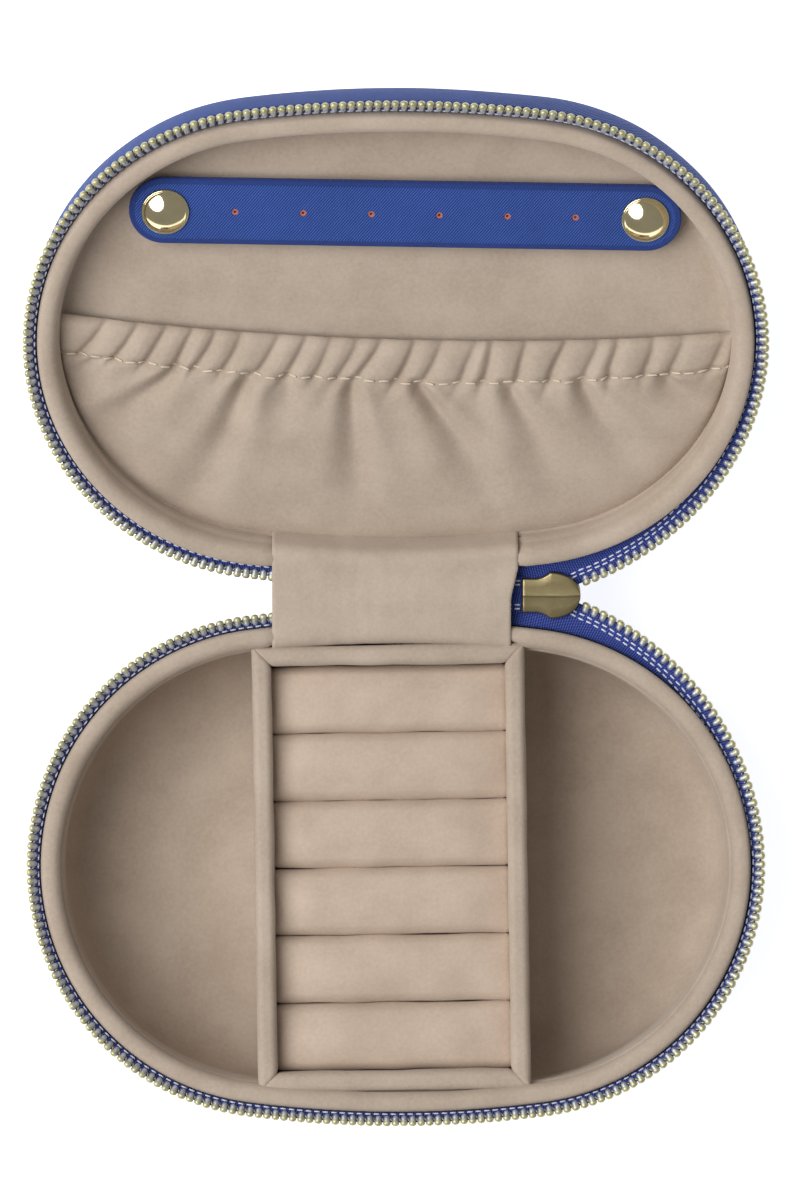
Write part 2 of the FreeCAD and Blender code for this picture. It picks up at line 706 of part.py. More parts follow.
def earring_strap():
    """A round-ended strap with a row of small holes for the posts of earrings."""
    body = new_body("earring_strap")
    half = "(Sizes.bar_length - Sizes.bar_width) / 2"
    radius = "Sizes.bar_width / 2"
    sketch = new_sketch(body, "Sizes.bar_level")
    add_outline(sketch, [
        (f"0 - {half}", f"0 - {radius}"),
        (half, f"0 - {radius}", radius),
        (f"{half} + {radius}", "0", radius),
        (half, radius),
        (f"0 - {half}", radius, radius),
        (f"0 - {half} - {radius}", "0", radius),
    ])
    pad(body, sketch, "Sizes.bar_thick")
    top = "Sizes.bar_level + Sizes.bar_thick"
    first = new_sketch(body, top)
    add_circle(first, "0 - (Sizes.hole_count - 1) / 2 * Sizes.hole_pitch", "0", "Sizes.hole_bore / 2")
    hole = pocket(body, first, "Sizes.bar_thick")
    repeat(body, hole, "Sizes.hole_count", "(Sizes.hole_count - 1) * Sizes.hole_pitch")
    snaps = new_sketch(body, top)
    for side in ("0 - Sizes.snap_spacing / 2", "Sizes.snap_spacing / 2"):
        add_circle(snaps, side, "0", "Sizes.shank_radius")
    pocket(body, snaps, "Sizes.bar_thick")
    place_on_bar(body)


def repeat(body, feature, count, length):
    pattern = body.newObject("PartDesign::LinearPattern", "LinearPattern")
    pattern.Originals = [feature]
    pattern.Direction = (origin_feature(body, "X_Axis"), [""])
    pattern.setExpression("Length", length)
    pattern.setExpression("Occurrences", count)
    body.Tip = pattern
    doc.recompute()
    return pattern


def turned_pair(name, profile):
    """Two alike turned pieces, one at each snap of the strap."""
    body = new_body(name)
    body.AllowCompound = True
    sketch = new_sketch(body, "0", "XZ_Plane")
    side = "0 - Sizes.snap_spacing / 2"
    sketch.setExpression("AttachmentOffset.Base.x", side)
    add_outline(sketch, profile)
    turned = body.newObject("PartDesign::Revolution", "Revolution")
    turned.Profile = sketch
    turned.ReferenceAxis = (sketch, ["V_Axis"])
    turned.Angle = 360
    doc.recompute()
    repeat(body, turned, "2", "Sizes.snap_spacing")
    place_on_bar(body)


def snap_caps():
    top = "(Sizes.bar_level + Sizes.bar_thick)"
    edge = f"({top} + Sizes.cap_edge)"
    crown = "(Sizes.cap_height - Sizes.cap_edge)"
    dome = f"((Sizes.cap_radius^2 + {crown}^2) / (2 * {crown}))"
    turned_pair("snap_caps", [
        ("0", "Sizes.bar_level"),
        ("Sizes.shank_radius", "Sizes.bar_level"),
        ("Sizes.shank_radius", top),
        ("Sizes.cap_radius", top),
        ("Sizes.cap_radius", edge, dome),
        ("0", f"{top} + Sizes.cap_height"),
    ])


def snap_sockets():
    low = f"({FLOOR_TOP} + Sizes.stud_flange + Sizes.snap_clear)"
    roof = "(Sizes.bar_level - Sizes.socket_roof)"
    turned_pair("snap_sockets", [
        ("Sizes.socket_bore", low),
        ("Sizes.socket_radius", low),
        ("Sizes.socket_radius", "Sizes.bar_level"),
        ("0", "Sizes.bar_level"),
        ("0", roof),
        ("Sizes.socket_bore", roof),
    ])


def snap_studs():
    flange = f"({FLOOR_TOP} + Sizes.stud_flange)"
    post = "(Sizes.bar_level - Sizes.socket_roof - Sizes.snap_clear)"
    turned_pair("snap_studs", [
        ("0", FLOOR_TOP),
        ("Sizes.stud_radius", FLOOR_TOP),
        ("Sizes.stud_radius", flange),
        ("Sizes.stud_post", flange),
        ("Sizes.stud_post", post),
        ("0", post),
    ])


# ---- the whole case ------------------------------------------------------------------------

def check():
    failed = [item.Label for item in doc.Objects if {"Invalid", "Error"} & set(item.State)]
    failed += [body.Label for body in sub_parts if body.Shape.isNull() or not body.Shape.isValid()]
    if failed:
        raise RuntimeError(f"failed: {failed}")


def export():
    os.makedirs("parts", exist_ok=True)
    for body in sub_parts:
        body.Shape.exportStep(f"parts/{body.Label}.step")
        print(f"{body.Label:22s} {body.Shape.Volume:10.1f} mm3, {len(body.Shape.Solids)} solid(s)")


fill_sheet()
shell("tray", "Sizes.tray_depth", 1)
for layer in shell("lid", "Sizes.lid_depth", -1):
    place_on_lid(layer)
ring_box()
ring_roll_base()
for roll in range(1, int(number("Sizes.roll_count")) + 1):
    ring_roll(roll)
hinge_cloth()
hinge_strap()
zip_closed_end()
zip_slider()
zip_puller()
lid_pocket()
pocket_elastic()
earring_strap()
snap_caps()
snap_sockets()
snap_studs()
doc.recompute()
check()
export()
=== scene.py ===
from functools import partial
import json
import math

import bmesh
import bpy
import numpy as np
from mathutils import Matrix, Vector, noise


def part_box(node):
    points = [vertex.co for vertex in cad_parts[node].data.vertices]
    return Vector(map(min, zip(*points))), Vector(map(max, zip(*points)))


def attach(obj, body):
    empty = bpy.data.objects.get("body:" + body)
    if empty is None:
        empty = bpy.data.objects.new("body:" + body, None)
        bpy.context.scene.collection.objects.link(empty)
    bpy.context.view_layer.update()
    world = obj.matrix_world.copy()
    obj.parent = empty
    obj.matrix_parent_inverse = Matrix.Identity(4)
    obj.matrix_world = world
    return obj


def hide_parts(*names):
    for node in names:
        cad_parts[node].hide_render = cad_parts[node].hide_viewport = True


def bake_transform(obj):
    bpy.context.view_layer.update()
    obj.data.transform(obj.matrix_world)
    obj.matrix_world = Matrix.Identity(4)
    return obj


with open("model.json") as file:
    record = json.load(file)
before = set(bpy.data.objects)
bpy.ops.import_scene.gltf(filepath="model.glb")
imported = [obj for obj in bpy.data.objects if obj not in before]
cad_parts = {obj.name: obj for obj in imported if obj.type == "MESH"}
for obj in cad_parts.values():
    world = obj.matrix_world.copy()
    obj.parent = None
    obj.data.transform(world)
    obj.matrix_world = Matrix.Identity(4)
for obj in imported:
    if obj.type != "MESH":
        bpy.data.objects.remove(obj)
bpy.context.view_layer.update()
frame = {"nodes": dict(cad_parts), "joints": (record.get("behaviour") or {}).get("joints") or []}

# ---- sizes, in millimetres ----

MM = 0.001
END_RADIUS = 53.2            # of the oval's two end arcs
COVER = 1.6                  # cover cloth outside the rim's outer edge
SEAM_DROP = 3.7              # from a rim down to the seam of cover, tape and hinge cloth
PANEL_INSET = 6.0            # from the cover to the edge of the outer panel
COVER_ROUND = 3.5            # how far in the cover's rounded outside edge starts
LID_DEPTH = 16.0
FLOOR_TOP = 5.0
RIM_CREASES = {"tray": 0.45, "lid": 0.0}    # how deep the crease under the rim is
PRESSED_HALF = 29.0          # half the stretch of rim that the hinge strap presses down
FLOOR_COVES = {"tray": 7.0, "lid": 3.0}    # how round the floor turns up into the wall
ZIP_PITCH = 1.9
COIL_OUT = 2.05              # coil's middle, outside the rim's outer edge
SLIDER_MOUTH = 40.0          # where each half of the zip leaves the slider, along the oval
STRAIGHT_ZIP = 106.0         # from here on the zip stands up at the rim
ZIP_LEFT_END = -25.5         # where it ends under the left edge of the hinge strap
STRAP_LEFT, STRAP_RIGHT = -27.6, 27.3
BOX_TURN = math.radians(0.9)
BAR_TURN = math.radians(-1.0)


def box_mm(node):
    low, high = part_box(node)
    return low / MM, high / MM


HALF_LENGTH, HALF_WIDTH, TRAY_DEPTH = box_mm("tray_rim_lining")[1]
SIDE_RADIUS = (((HALF_LENGTH - END_RADIUS) ** 2 + HALF_WIDTH ** 2 - END_RADIUS ** 2)
               / (2 * (HALF_WIDTH - END_RADIUS)))
END_X = HALF_LENGTH - END_RADIUS
SIDE_Y = SIDE_RADIUS - HALF_WIDTH
SIDE_ANGLE = math.atan2(END_X, SIDE_Y)
SIDE_ARC = 2 * SIDE_RADIUS * SIDE_ANGLE
END_ARC = END_RADIUS * (math.pi - 2 * SIDE_ANGLE)
AROUND = 2 * (SIDE_ARC + END_ARC)

# ---- frames: millimetres in a part's own axes to metres in the row frame ----

joints = {joint["name"]: joint for joint in frame["joints"]}
TRAY_SEAM = Vector(joints["tray_hinge"]["pos_m"])
LID_SEAM = Vector(joints["lid_hinge"]["pos_m"])
HINGE_LENGTH = (LID_SEAM - TRAY_SEAM).length / MM
HINGE_TILT = math.atan2(LID_SEAM.z - TRAY_SEAM.z, LID_SEAM.y - TRAY_SEAM.y)
TO_METRES = Matrix.Scale(MM, 4)
TRAY = TO_METRES
HINGE = Matrix.Translation(TRAY_SEAM) @ Matrix.Rotation(HINGE_TILT, 4, "X") @ TO_METRES
LID = (Matrix.Translation(LID_SEAM) @ Matrix.Rotation(2 * HINGE_TILT, 4, "X") @ TO_METRES
       @ Matrix.Translation((0, HALF_WIDTH + COVER, SEAM_DROP - LID_DEPTH)))


def middle_of(node, axes):
    """Middle of a CAD node's box, in the given frame, in millimetres."""
    low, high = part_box(node)
    return axes.inverted() @ ((low + high) / 2)


box_middle = middle_of("ring_roll_base", TRAY)
BOX = (TRAY @ Matrix.Translation((box_middle.x, box_middle.y, 0))
       @ Matrix.Rotation(BOX_TURN, 4, "Z"))
bar_middle = middle_of("earring_strap", LID)
BAR = (LID @ Matrix.Translation((bar_middle.x, bar_middle.y, 0))
       @ Matrix.Rotation(BAR_TURN, 4, "Z"))
slider_middle = middle_of("zip_slider", HINGE)
SLIDER = HINGE @ Matrix.Translation((slider_middle.x, HINGE_LENGTH / 2, 0))


def to_world(axes, points):
    matrix = np.array(axes)
    return np.asarray(points, float) @ matrix[:3, :3].T + matrix[:3, 3]


def oval(along):
    """Points of the rim's outer oval and their outward normals. along starts at the middle of
    the hinge side and grows towards +X."""
    along = (np.asarray(along, float) + SIDE_ARC / 2) % AROUND
    points, normals = np.zeros(along.shape + (2,)), np.zeros(along.shape + (2,))
    start = 0.0
    arcs = ((0, -SIDE_Y, SIDE_RADIUS, SIDE_ARC, -SIDE_ANGLE),
            (END_X, 0, END_RADIUS, END_ARC, SIDE_ANGLE),
            (0, SIDE_Y, SIDE_RADIUS, SIDE_ARC, math.pi - SIDE_ANGLE),
            (-END_X, 0, END_RADIUS, END_ARC, math.pi + SIDE_ANGLE))
    for centre_x, centre_y, radius, length, first in arcs:
        here = (along >= start) & (along <= start + length)
        turn = first + (along[here] - start) / radius
        normal = np.stack([np.sin(turn), np.cos(turn)], -1)
        points[here] = np.array([centre_x, centre_y]) + radius * normal
        normals[here] = normal
        start += length
    return points, normals


def oval_half_width(x, growth):
    """Half width of the grown oval at x."""
    x = np.abs(np.asarray(x, float))
    side, end = SIDE_RADIUS + growth, END_RADIUS + growth
    on_side = np.sqrt(np.maximum(side ** 2 - x ** 2, 0)) - SIDE_Y
    on_end = np.sqrt(np.maximum(end ** 2 - np.maximum(x - END_X, 0) ** 2, 0))
    return np.where(x < side * math.sin(SIDE_ANGLE), on_side, on_end)


def around_shell(along, out, up, side):
    """Points at each along, out from the oval and up. side is 1 for the tray, whose hinge is at
    +Y, and -1 for the lid, whose hinge is at its own -Y."""
    base, normal = oval(along)
    flat = base[:, None, :] + normal[:, None, :] * out[..., None]
    return np.stack([flat[..., 0], side * flat[..., 1], up], -1)


# ---- meshes ----

def place_object(name, data):
    """A new object in the scene."""
    made = bpy.data.objects.new(name, data)
    bpy.context.scene.collection.objects.link(made)
    return made


def mesh_of(name, vertices, faces):
    mesh = bpy.data.meshes.new(name)
    mesh.from_pydata(vertices, [], faces)
    return mesh


def finish_mesh(name, mesh, material):
    """An object of a mesh, smooth and with its faces turned outwards."""
    shape = bmesh.new()
    shape.from_mesh(mesh)
    bmesh.ops.recalc_face_normals(shape, faces=shape.faces)
    shape.to_mesh(mesh)
    shape.free()
    mesh.polygons.foreach_set("use_smooth", [True] * len(mesh.polygons))
    mesh.materials.append(material)
    return place_object(name, mesh)


def skin(name, points, material, ring_along=False, ring_across=False, capped=False):
    """A mesh over a grid of points (rows along, columns across), with UVs in millimetres."""
    rows, columns = points.shape[:2]
    wide = points if not ring_along else np.concatenate([points, points[:1]])
    wide = wide if not ring_across else np.concatenate([wide, wide[:, :1]], 1)
    step_along = np.linalg.norm(np.diff(wide, axis=0), axis=-1).mean(1)
    step_across = np.linalg.norm(np.diff(wide, axis=1), axis=-1).mean(0)
    u = np.concatenate([[0], np.cumsum(step_along)]) / MM
    v = np.concatenate([[0], np.cumsum(step_across)]) / MM
    i, j = np.meshgrid(np.arange(len(u) - 1), np.arange(len(v) - 1), indexing="ij")
    corners_i = np.stack([i, i + 1, i + 1, i], -1).reshape(-1, 4)
    corners_j = np.stack([j, j, j + 1, j + 1], -1).reshape(-1, 4)
    faces = ((corners_i % rows) * columns + corners_j % columns).tolist()
    uvs = np.stack([u[corners_i], v[corners_j]], -1).reshape(-1, 2)
    if capped:
        faces += [list(range(columns)), list(range((rows - 1) * columns, rows * columns))]
        uvs = np.concatenate([uvs, np.zeros((2 * columns, 2))])
    mesh = mesh_of(name, points.reshape(-1, 3).tolist(), faces)
    layer = mesh.uv_layers.new(name="UVMap")
    layer.data.foreach_set("uv", uvs.astype(np.float32).ravel())
    piece = finish_mesh(name, mesh, material)
    if capped:
        mesh.polygons[-1].use_smooth = False
        mesh.polygons[-2].use_smooth = False
    return piece


def band(path, thickness):
    """The closed outline of a strip of cloth along a path of (out, up) points."""
    direction = np.gradient(path, axis=-2)
    direction /= np.linalg.norm(direction, axis=-1, keepdims=True)
    across = np.stack([-direction[..., 1], direction[..., 0]], -1) * thickness / 2
    return np.concatenate([path + across, (path - across)[..., ::-1, :]], -2)


def tube(name, path, radii, sideways, material, sides=8):
    """A round tube along a path in metres. sideways is a direction for each point that the path
    never follows."""
    ahead = np.gradient(path, axis=0)
    ahead /= np.linalg.norm(ahead, axis=1, keepdims=True)
    first = np.cross(ahead, sideways)
    first /= np.linalg.norm(first, axis=1, keepdims=True)
    second = np.cross(ahead, first)
    turn = np.linspace(0, 2 * math.pi, sides, endpoint=False)
    circle = (first[:, None] * np.cos(turn)[None, :, None]
              + second[:, None] * np.sin(turn)[None, :, None])
    points = path[:, None] + circle * np.asarray(radii)[:, None, None]
    return skin(name, points, material, ring_across=True, capped=True)


def join(name, pieces):
    """One object from several of one material."""
    shape = bmesh.new()
    for piece in pieces:
        shape.from_mesh(piece.data)
    mesh = bpy.data.meshes.new(name)
    shape.to_mesh(mesh)
    shape.free()
    mesh.materials.append(pieces[0].data.materials[0])
    for piece in pieces:
        bpy.data.objects.remove(piece)
    return place_object(name, mesh)


def ring_faces(base, rings, sides):
    """Faces of a closed tube: rings of vertices from base on, and its two ends."""
    faces = [[base + k for k in range(sides)],
             [base + (rings - 1) * sides + k for k in range(sides)]]
    for low in range(base, base + (rings - 1) * sides, sides):
        faces += [[low + k, low + (k + 1) % sides, low + sides + (k + 1) % sides, low + sides + k]
                  for k in range(sides)]
    return faces


def walk(path, pitch):
    """Even steps along a polyline: places and directions."""
    steps = np.linalg.norm(np.diff(path, axis=0), axis=1)
    travelled = np.concatenate([[0], np.cumsum(steps)])
    stops = np.arange(pitch / 2, travelled[-1], pitch)
    places = np.stack([np.interp(stops, travelled, path[:, axis]) for axis in range(3)], 1)
    ahead = np.stack([np.interp(stops + pitch / 4, travelled, path[:, axis])
                      - np.interp(stops - pitch / 4, travelled, path[:, axis])
                      for axis in range(3)], 1)
    return places, ahead / np.linalg.norm(ahead, axis=1, keepdims=True)


def stitches(name, path, pitch, length, radius, material):
    """A row of thread dashes along a path in metres; pitch, length and radius in millimetres."""
    places, ahead = walk(path, pitch * MM)
    side = np.cross(ahead, np.array([0.0, 0.0, 1.0]))
    side /= np.linalg.norm(side, axis=1, keepdims=True)
    lift = np.cross(side, ahead)
    sides = 6
    around = np.linspace(0, 2 * math.pi, sides, endpoint=False)
    rings = np.array([-1.0, -0.8, 0.0, 0.8, 1.0])
    girth = np.array([0.25, 0.85, 1.0, 0.85, 0.25])
    vertices, faces = [], []
    for place, forward, left, above in zip(places, ahead, side, lift):
        base = len(vertices)
        for ring, size in zip(rings, girth):
            centre = place + forward * ring * length * MM / 2
            for turn in around:
                vertices.append(centre + (left * math.cos(turn) + above * math.sin(turn))
                                * size * radius * MM)
        faces += ring_faces(base, len(rings), sides)
    return finish_mesh(name, mesh_of(name, [tuple(v) for v in vertices], faces), material)


def random_push(points, wavelength, amount, seed):
    """A smooth random number for each point, up to about amount. Points in millimetres."""
    shift = Vector((seed * 17.3, seed * 5.1, seed * 9.7))
    flat = points.reshape(-1, 3) / wavelength
    values = [noise.noise(Vector(point) + shift) for point in flat]
    return amount * np.array(values).reshape(points.shape[:-1])


def steps_with_edges(half, edge, step):
    """Coordinates from -half to half, close together in the rounded edges."""
    inside = half - edge
    count = max(2, round(2 * inside / step) + 1)
    corner = edge * np.tan(np.linspace(0, math.pi / 4, 6)[1:])
    return np.concatenate([-inside - corner[::-1], np.linspace(-inside, inside, count),
                           inside + corner])


def padded_block(name, half, middle, edge, crown, wrinkle, seed, axes, material, step=1.6,
                 mitre=None):
    """A padded block with rounded edges and a crowned top. half and middle are (x, y, z). mitre
    is (long axis, short axis, 1 or -1): the long side towards that end of the short axis."""
    coordinates = [steps_with_edges(h, edge, step) for h in half]
    sizes = [len(c) for c in coordinates]
    index, vertices, faces = {}, [], []

    def vertex(key):
        if key not in index:
            index[key] = len(vertices)
            vertices.append([coordinates[axis][key[axis]] for axis in range(3)])
        return index[key]

    for axis in range(3):
        first, second = [other for other in range(3) if other != axis]
        for level in (0, sizes[axis] - 1):
            for a in range(sizes[first] - 1):
                for b in range(sizes[second] - 1):
                    ring = []
                    for da, db in ((0, 0), (1, 0), (1, 1), (0, 1)):
                        key = [0, 0, 0]
                        key[axis], key[first], key[second] = level, a + da, b + db
                        ring.append(vertex(tuple(key)))
                    faces.append(ring)
    points = np.array(vertices)
    inside = np.clip(points, -(np.array(half) - edge), np.array(half) - edge)
    away = points - inside
    away /= np.linalg.norm(away, axis=1, keepdims=True)
    points = inside + away * edge
    share = points / np.array(half)
    swell = np.clip(1 - share[:, 0] ** 4, 0, 1) * np.clip(1 - share[:, 1] ** 2, 0, 1)
    points[:, 2] += crown * swell * np.clip(share[:, 2], 0, 1)
    points += away * random_push(points, 9.0, wrinkle, seed)[:, None]
    if mitre:
        long, short, side = mitre
        points[:, long] *= 1 + side * points[:, short] / half[long]
    placed = to_world(axes, points + np.array(middle)).tolist()
    return finish_mesh(name, mesh_of(name, placed, faces), material)


def lathe(name, profile, axes, material, count=64):
    """A turned piece from (radius, height) points."""
    turn = np.linspace(0, 2 * math.pi, count, endpoint=False)
    profile = np.array(profile)
    points = np.stack([np.outer(np.cos(turn), profile[:, 0]), np.outer(np.sin(turn), profile[:, 0]),
                       np.outer(np.ones(count), profile[:, 1])], -1)
    return skin(name, to_world(axes, points), material, ring_along=True)


def plate(name, outlines, low, high, bevel, axes, material):
    """A flat plate with bevelled edges from closed outlines of (x, y), the first outside and the
    rest as holes."""
    curve = bpy.data.curves.new(name, "CURVE")
    curve.dimensions = "2D"
    curve.fill_mode = "BOTH"
    curve.extrude = (high - low) / 2 - bevel
    curve.bevel_depth = bevel
    curve.bevel_resolution = 3
    for outline in outlines:
        spline = curve.splines.new("POLY")
        spline.points.add(len(outline) - 1)
        for point, (x, y) in zip(spline.points, outline):
            point.co = (x, y, 0, 1)
        spline.use_cyclic_u = True
    carrier = bpy.data.objects.new(name, curve)
    mesh = bpy.data.meshes.new_from_object(carrier)
    bpy.data.objects.remove(carrier)
    points = np.array([vertex.co for vertex in mesh.vertices])
    layer = mesh.uv_layers.get("UVMap") or mesh.uv_layers.new(name="UVMap")
    for loop in mesh.loops:
        layer.data[loop.index].uv = points[loop.vertex_index][:2]
    points[:, 2] += (low + high) / 2
    for vertex, place in zip(mesh.vertices, to_world(axes, points)):
        vertex.co = place
    mesh.materials.clear()
    return finish_mesh(name, mesh, material)


def capsule(half_length, radius, count=24):
    """Outline of a round-ended strip along X."""
    turn = np.linspace(-math.pi / 2, math.pi / 2, count)
    right = np.stack([half_length - radius + radius * np.cos(turn), radius * np.sin(turn)], 1)
    return np.concatenate([right, -right])


def circle(x, y, radius, count=24):
    turn = np.linspace(0, 2 * math.pi, count, endpoint=False)
    return np.stack([x + radius * np.cos(turn), y + radius * np.sin(turn)], 1)


def settle(piece, body, slot, *nodes):
    """Put a piece on its body and hide the CAD nodes that it stands for. slot is not used."""
    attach(piece, body)
    if nodes:
        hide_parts(*nodes)
    return piece


# ---- materials ----

def colour(red, green, blue):
    """A linear colour from 0-255 display values."""
    linear = [((c / 255 + 0.055) / 1.055) ** 2.4 if c > 10 else c / 255 / 12.92
              for c in (red, green, blue)]
    return (*linear, 1.0)


class Finish:
    """One procedural material while it is being put together."""

    def __init__(self, name, roughness, **uniform):
        self.material = bpy.data.materials.new(name)
        self.material.use_nodes = True
        self.tree = self.material.node_tree
        self.shader = self.tree.nodes["Principled BSDF"]
        self.put(self.shader, Roughness=roughness, **uniform)
        self.place = self.add("ShaderNodeTexCoord")

    def add(self, kind, **settings):
        node = self.tree.nodes.new(kind)
        for key, value in settings.items():
            setattr(node, key, value)
        return node

    def put(self, node, **values):
        """Set the node's input sockets; an underscore stands for a space in their names."""
        for socket, value in values.items():
            node.inputs[socket.replace("_", " ")].default_value = value

    def link(self, source, target):
        self.tree.links.new(source, target)

    def grain(self, size, detail=3.0, rough=0.6, stretch=(1, 1, 1), coordinates="Object"):
        """Noise whose blotches are about size millimetres."""
        mapping = self.add("ShaderNodeMapping")
        per_unit = 1 / (size * MM) if coordinates == "Object" else 1 / size
        self.put(mapping, Scale=[per_unit * part for part in stretch])
        self.link(self.place.outputs[coordinates], mapping.inputs["Vector"])
        texture = self.add("ShaderNodeTexNoise")
        self.put(texture, Scale=1.0, Detail=detail, Roughness=rough)
        self.link(mapping.outputs["Vector"], texture.inputs["Vector"])
        return texture.outputs["Fac"]

    def ribs(self, period, angle, wander=0.0):
        """Threads at an angle across the cloth, period millimetres apart, from the UVs."""
        mapping = self.add("ShaderNodeMapping")
        self.put(mapping, Rotation=(0, 0, math.radians(angle)))
        self.link(self.place.outputs["UV"], mapping.inputs["Vector"])
        texture = self.add("ShaderNodeTexWave", wave_type="BANDS", bands_direction="X")
        self.put(texture, Scale=math.pi / 10 / period, Distortion=wander, Detail=1.0,
                 Detail_Scale=2.0)
        self.link(mapping.outputs["Vector"], texture.inputs["Vector"])
        return texture.outputs["Fac"]

    def combine(self, operation, a, b):
        node = self.add("ShaderNodeMath", operation=operation)
        for socket, value in zip(node.inputs, (a, b)):
            if isinstance(value, (int, float)):
                socket.default_value = value
            else:
                self.link(value, socket)
        return node.outputs["Value"]

    def ramp(self, factor, *stops):
        """Colours at positions along a factor."""
        node = self.add("ShaderNodeValToRGB")
        elements = node.color_ramp.elements
        for index, (position, tint) in enumerate(stops):
            element = elements[index] if index < 2 else elements.new(position)
            element.position = position
            element.color = tint
        self.link(factor, node.inputs["Fac"])
        return node.outputs["Color"]

    def blend(self, factor, a, b, kind="MIX"):
        node = self.add("ShaderNodeMix", data_type="RGBA", blend_type=kind)
        for socket, value in ((node.inputs[0], factor), (node.inputs[6], a), (node.inputs[7], b)):
            if isinstance(value, (int, float, tuple)):
                socket.default_value = value
            else:
                self.link(value, socket)
        return node.outputs[2]

    def range(self, value, low, high):
        node = self.add("ShaderNodeMapRange")
        self.put(node, To_Min=low, To_Max=high)
        self.link(value, node.inputs["Value"])
        return node.outputs["Result"]

    def finish(self, base, heights=(), rough=None):
        """base is the colour output; heights are (output, depth in millimetres)."""
        self.link(base, self.shader.inputs["Base Color"])
        if rough is not None:
            self.link(rough, self.shader.inputs["Roughness"])
        normal = None
        for height, depth in heights:
            bump = self.add("ShaderNodeBump")
            self.put(bump, Strength=1.0, Distance=depth * MM)
            self.link(height, bump.inputs["Height"])
            if normal is not None:
                self.link(normal, bump.inputs["Normal"])
            normal = bump.outputs["Normal"]
        if normal is not None:
            self.link(normal, self.shader.inputs["Normal"])
        return self.material


def suede(name, light, dark):
    """Brushed suede cloth: a fine nap, lying differently in soft patches."""
    finish = Finish(name, 0.92, Sheen_Weight=0.25, Sheen_Roughness=0.55,
                    Sheen_Tint=(1.0, 0.93, 0.86, 1.0), Specular_IOR_Level=0.15)
    patches = finish.grain(14.0, 2.0)
    nap = finish.grain(0.9, 3.0, 0.7)
    fuzz = finish.grain(0.28, 2.0, 0.8)
    tone = finish.combine("ADD", finish.combine("MULTIPLY", patches, 0.55),
                          finish.combine("MULTIPLY", nap, 0.45))
    base = finish.ramp(tone, (0.36, dark), (0.64, light))
    rough = finish.range(nap, 0.82, 0.98)
    return finish.finish(base, ((patches, 0.25), (nap, 0.06), (fuzz, 0.03)), rough)


def weave(name, light, dark, period, worn=0.0):
    """Close woven cloth: diagonal twill crossed by finer yarns."""
    finish = Finish(name, 0.72, Sheen_Weight=0.12, Sheen_Roughness=0.4,
                    Sheen_Tint=(0.75, 0.83, 1.0, 1.0), Specular_IOR_Level=0.3)
    twill = finish.ribs(period, 38.0, 0.6)
    yarns = finish.ribs(period * 0.62, -52.0, 0.8)
    cloth = finish.combine("MULTIPLY", twill, finish.range(yarns, 0.45, 1.0))
    slubs = finish.grain(2.2, 3.0, 0.7)
    patches = finish.grain(17.0, 2.0)
    threads = finish.ramp(cloth, (0.12, dark), (0.75, light))
    spread = finish.combine("ADD", finish.combine("MULTIPLY", slubs, 0.5),
                            finish.combine("MULTIPLY", patches, 0.5))
    shade = finish.ramp(spread, (0.3, (0.78 - worn,) * 3 + (1.0,)), (0.7, (1.0,) * 4))
    base = finish.blend(1.0, threads, shade, "MULTIPLY")
    rough = finish.range(cloth, 0.85, 0.6)
    return finish.finish(base, ((cloth, 0.11), (slubs, 0.05)), rough)


def tape_cloth():
    """Woven zip tape: fine ribs across it, with a lighter bloom on the yarns."""
    finish = Finish("zip_tape_weave", 0.75, Sheen_Weight=0.3, Sheen_Roughness=0.4,
                    Sheen_Tint=(0.7, 0.78, 1.0, 1.0), Specular_IOR_Level=0.3)
    ribs = finish.ribs(0.55, 12.0, 0.9)
    cross = finish.ribs(0.42, 78.0, 0.9)
    cloth = finish.combine("MULTIPLY", ribs, finish.range(cross, 0.35, 1.0))
    fluff = finish.grain(0.8, 3.0, 0.8)
    base = finish.ramp(finish.combine("MULTIPLY", cloth, finish.range(fluff, 0.5, 1.4)),
                       (0.08, colour(26, 36, 98)), (0.7, colour(74, 98, 188)))
    return finish.finish(base, ((cloth, 0.12), (fluff, 0.05)))


def coil_plastic():
    """Metallised monofilament: silver at the tape, pale gold on the heads, rubbed in places."""
    finish = Finish("zip_coil_metallised", 0.3, Metallic=0.5, Specular_IOR_Level=0.5)
    split = finish.add("ShaderNodeSeparateXYZ")
    finish.link(finish.place.outputs["UV"], split.inputs["Vector"])
    streaks = finish.grain(0.7, 3.0, 0.6)
    reach = finish.combine("ADD", split.outputs["Y"], finish.range(streaks, -0.35, 0.35))
    silver = finish.ramp(streaks, (0.3, colour(140, 142, 152)), (0.7, colour(190, 192, 200)))
    pale = finish.ramp(streaks, (0.3, colour(164, 160, 120)), (0.7, colour(212, 208, 168)))
    node = finish.add("ShaderNodeMapRange")
    finish.put(node, From_Min=-0.35, From_Max=0.25)
    finish.link(reach, node.inputs["Value"])
    base = finish.blend(node.outputs["Result"], silver, pale)
    return finish.finish(base, ((streaks, 0.02),), finish.range(streaks, 0.34, 0.5))


def gold(name, tint, shade, roughness, scratch):
    """Pale gold plate with faint rubbing marks."""
    finish = Finish(name, roughness, Metallic=1.0)
    cloud = finish.grain(4.0, 3.0)
    marks = finish.grain(0.5, 4.0, 0.7, (1, 7, 1))
    base = finish.ramp(cloud, (0.3, shade), (0.7, tint))
    rough = finish.range(marks, roughness * 0.75, roughness * 1.35)
    return finish.finish(base, ((marks, scratch),), rough)


def thread(name, light, dark):
    """Twisted sewing thread."""
    finish = Finish(name, 0.6, Sheen_Weight=0.2, Specular_IOR_Level=0.35)
    twist = finish.grain(0.22, 2.0, 0.6, (1, 1, 3))
    base = finish.ramp(twist, (0.3, dark), (0.7, light))
    return finish.finish(base, ((twist, 0.04),))


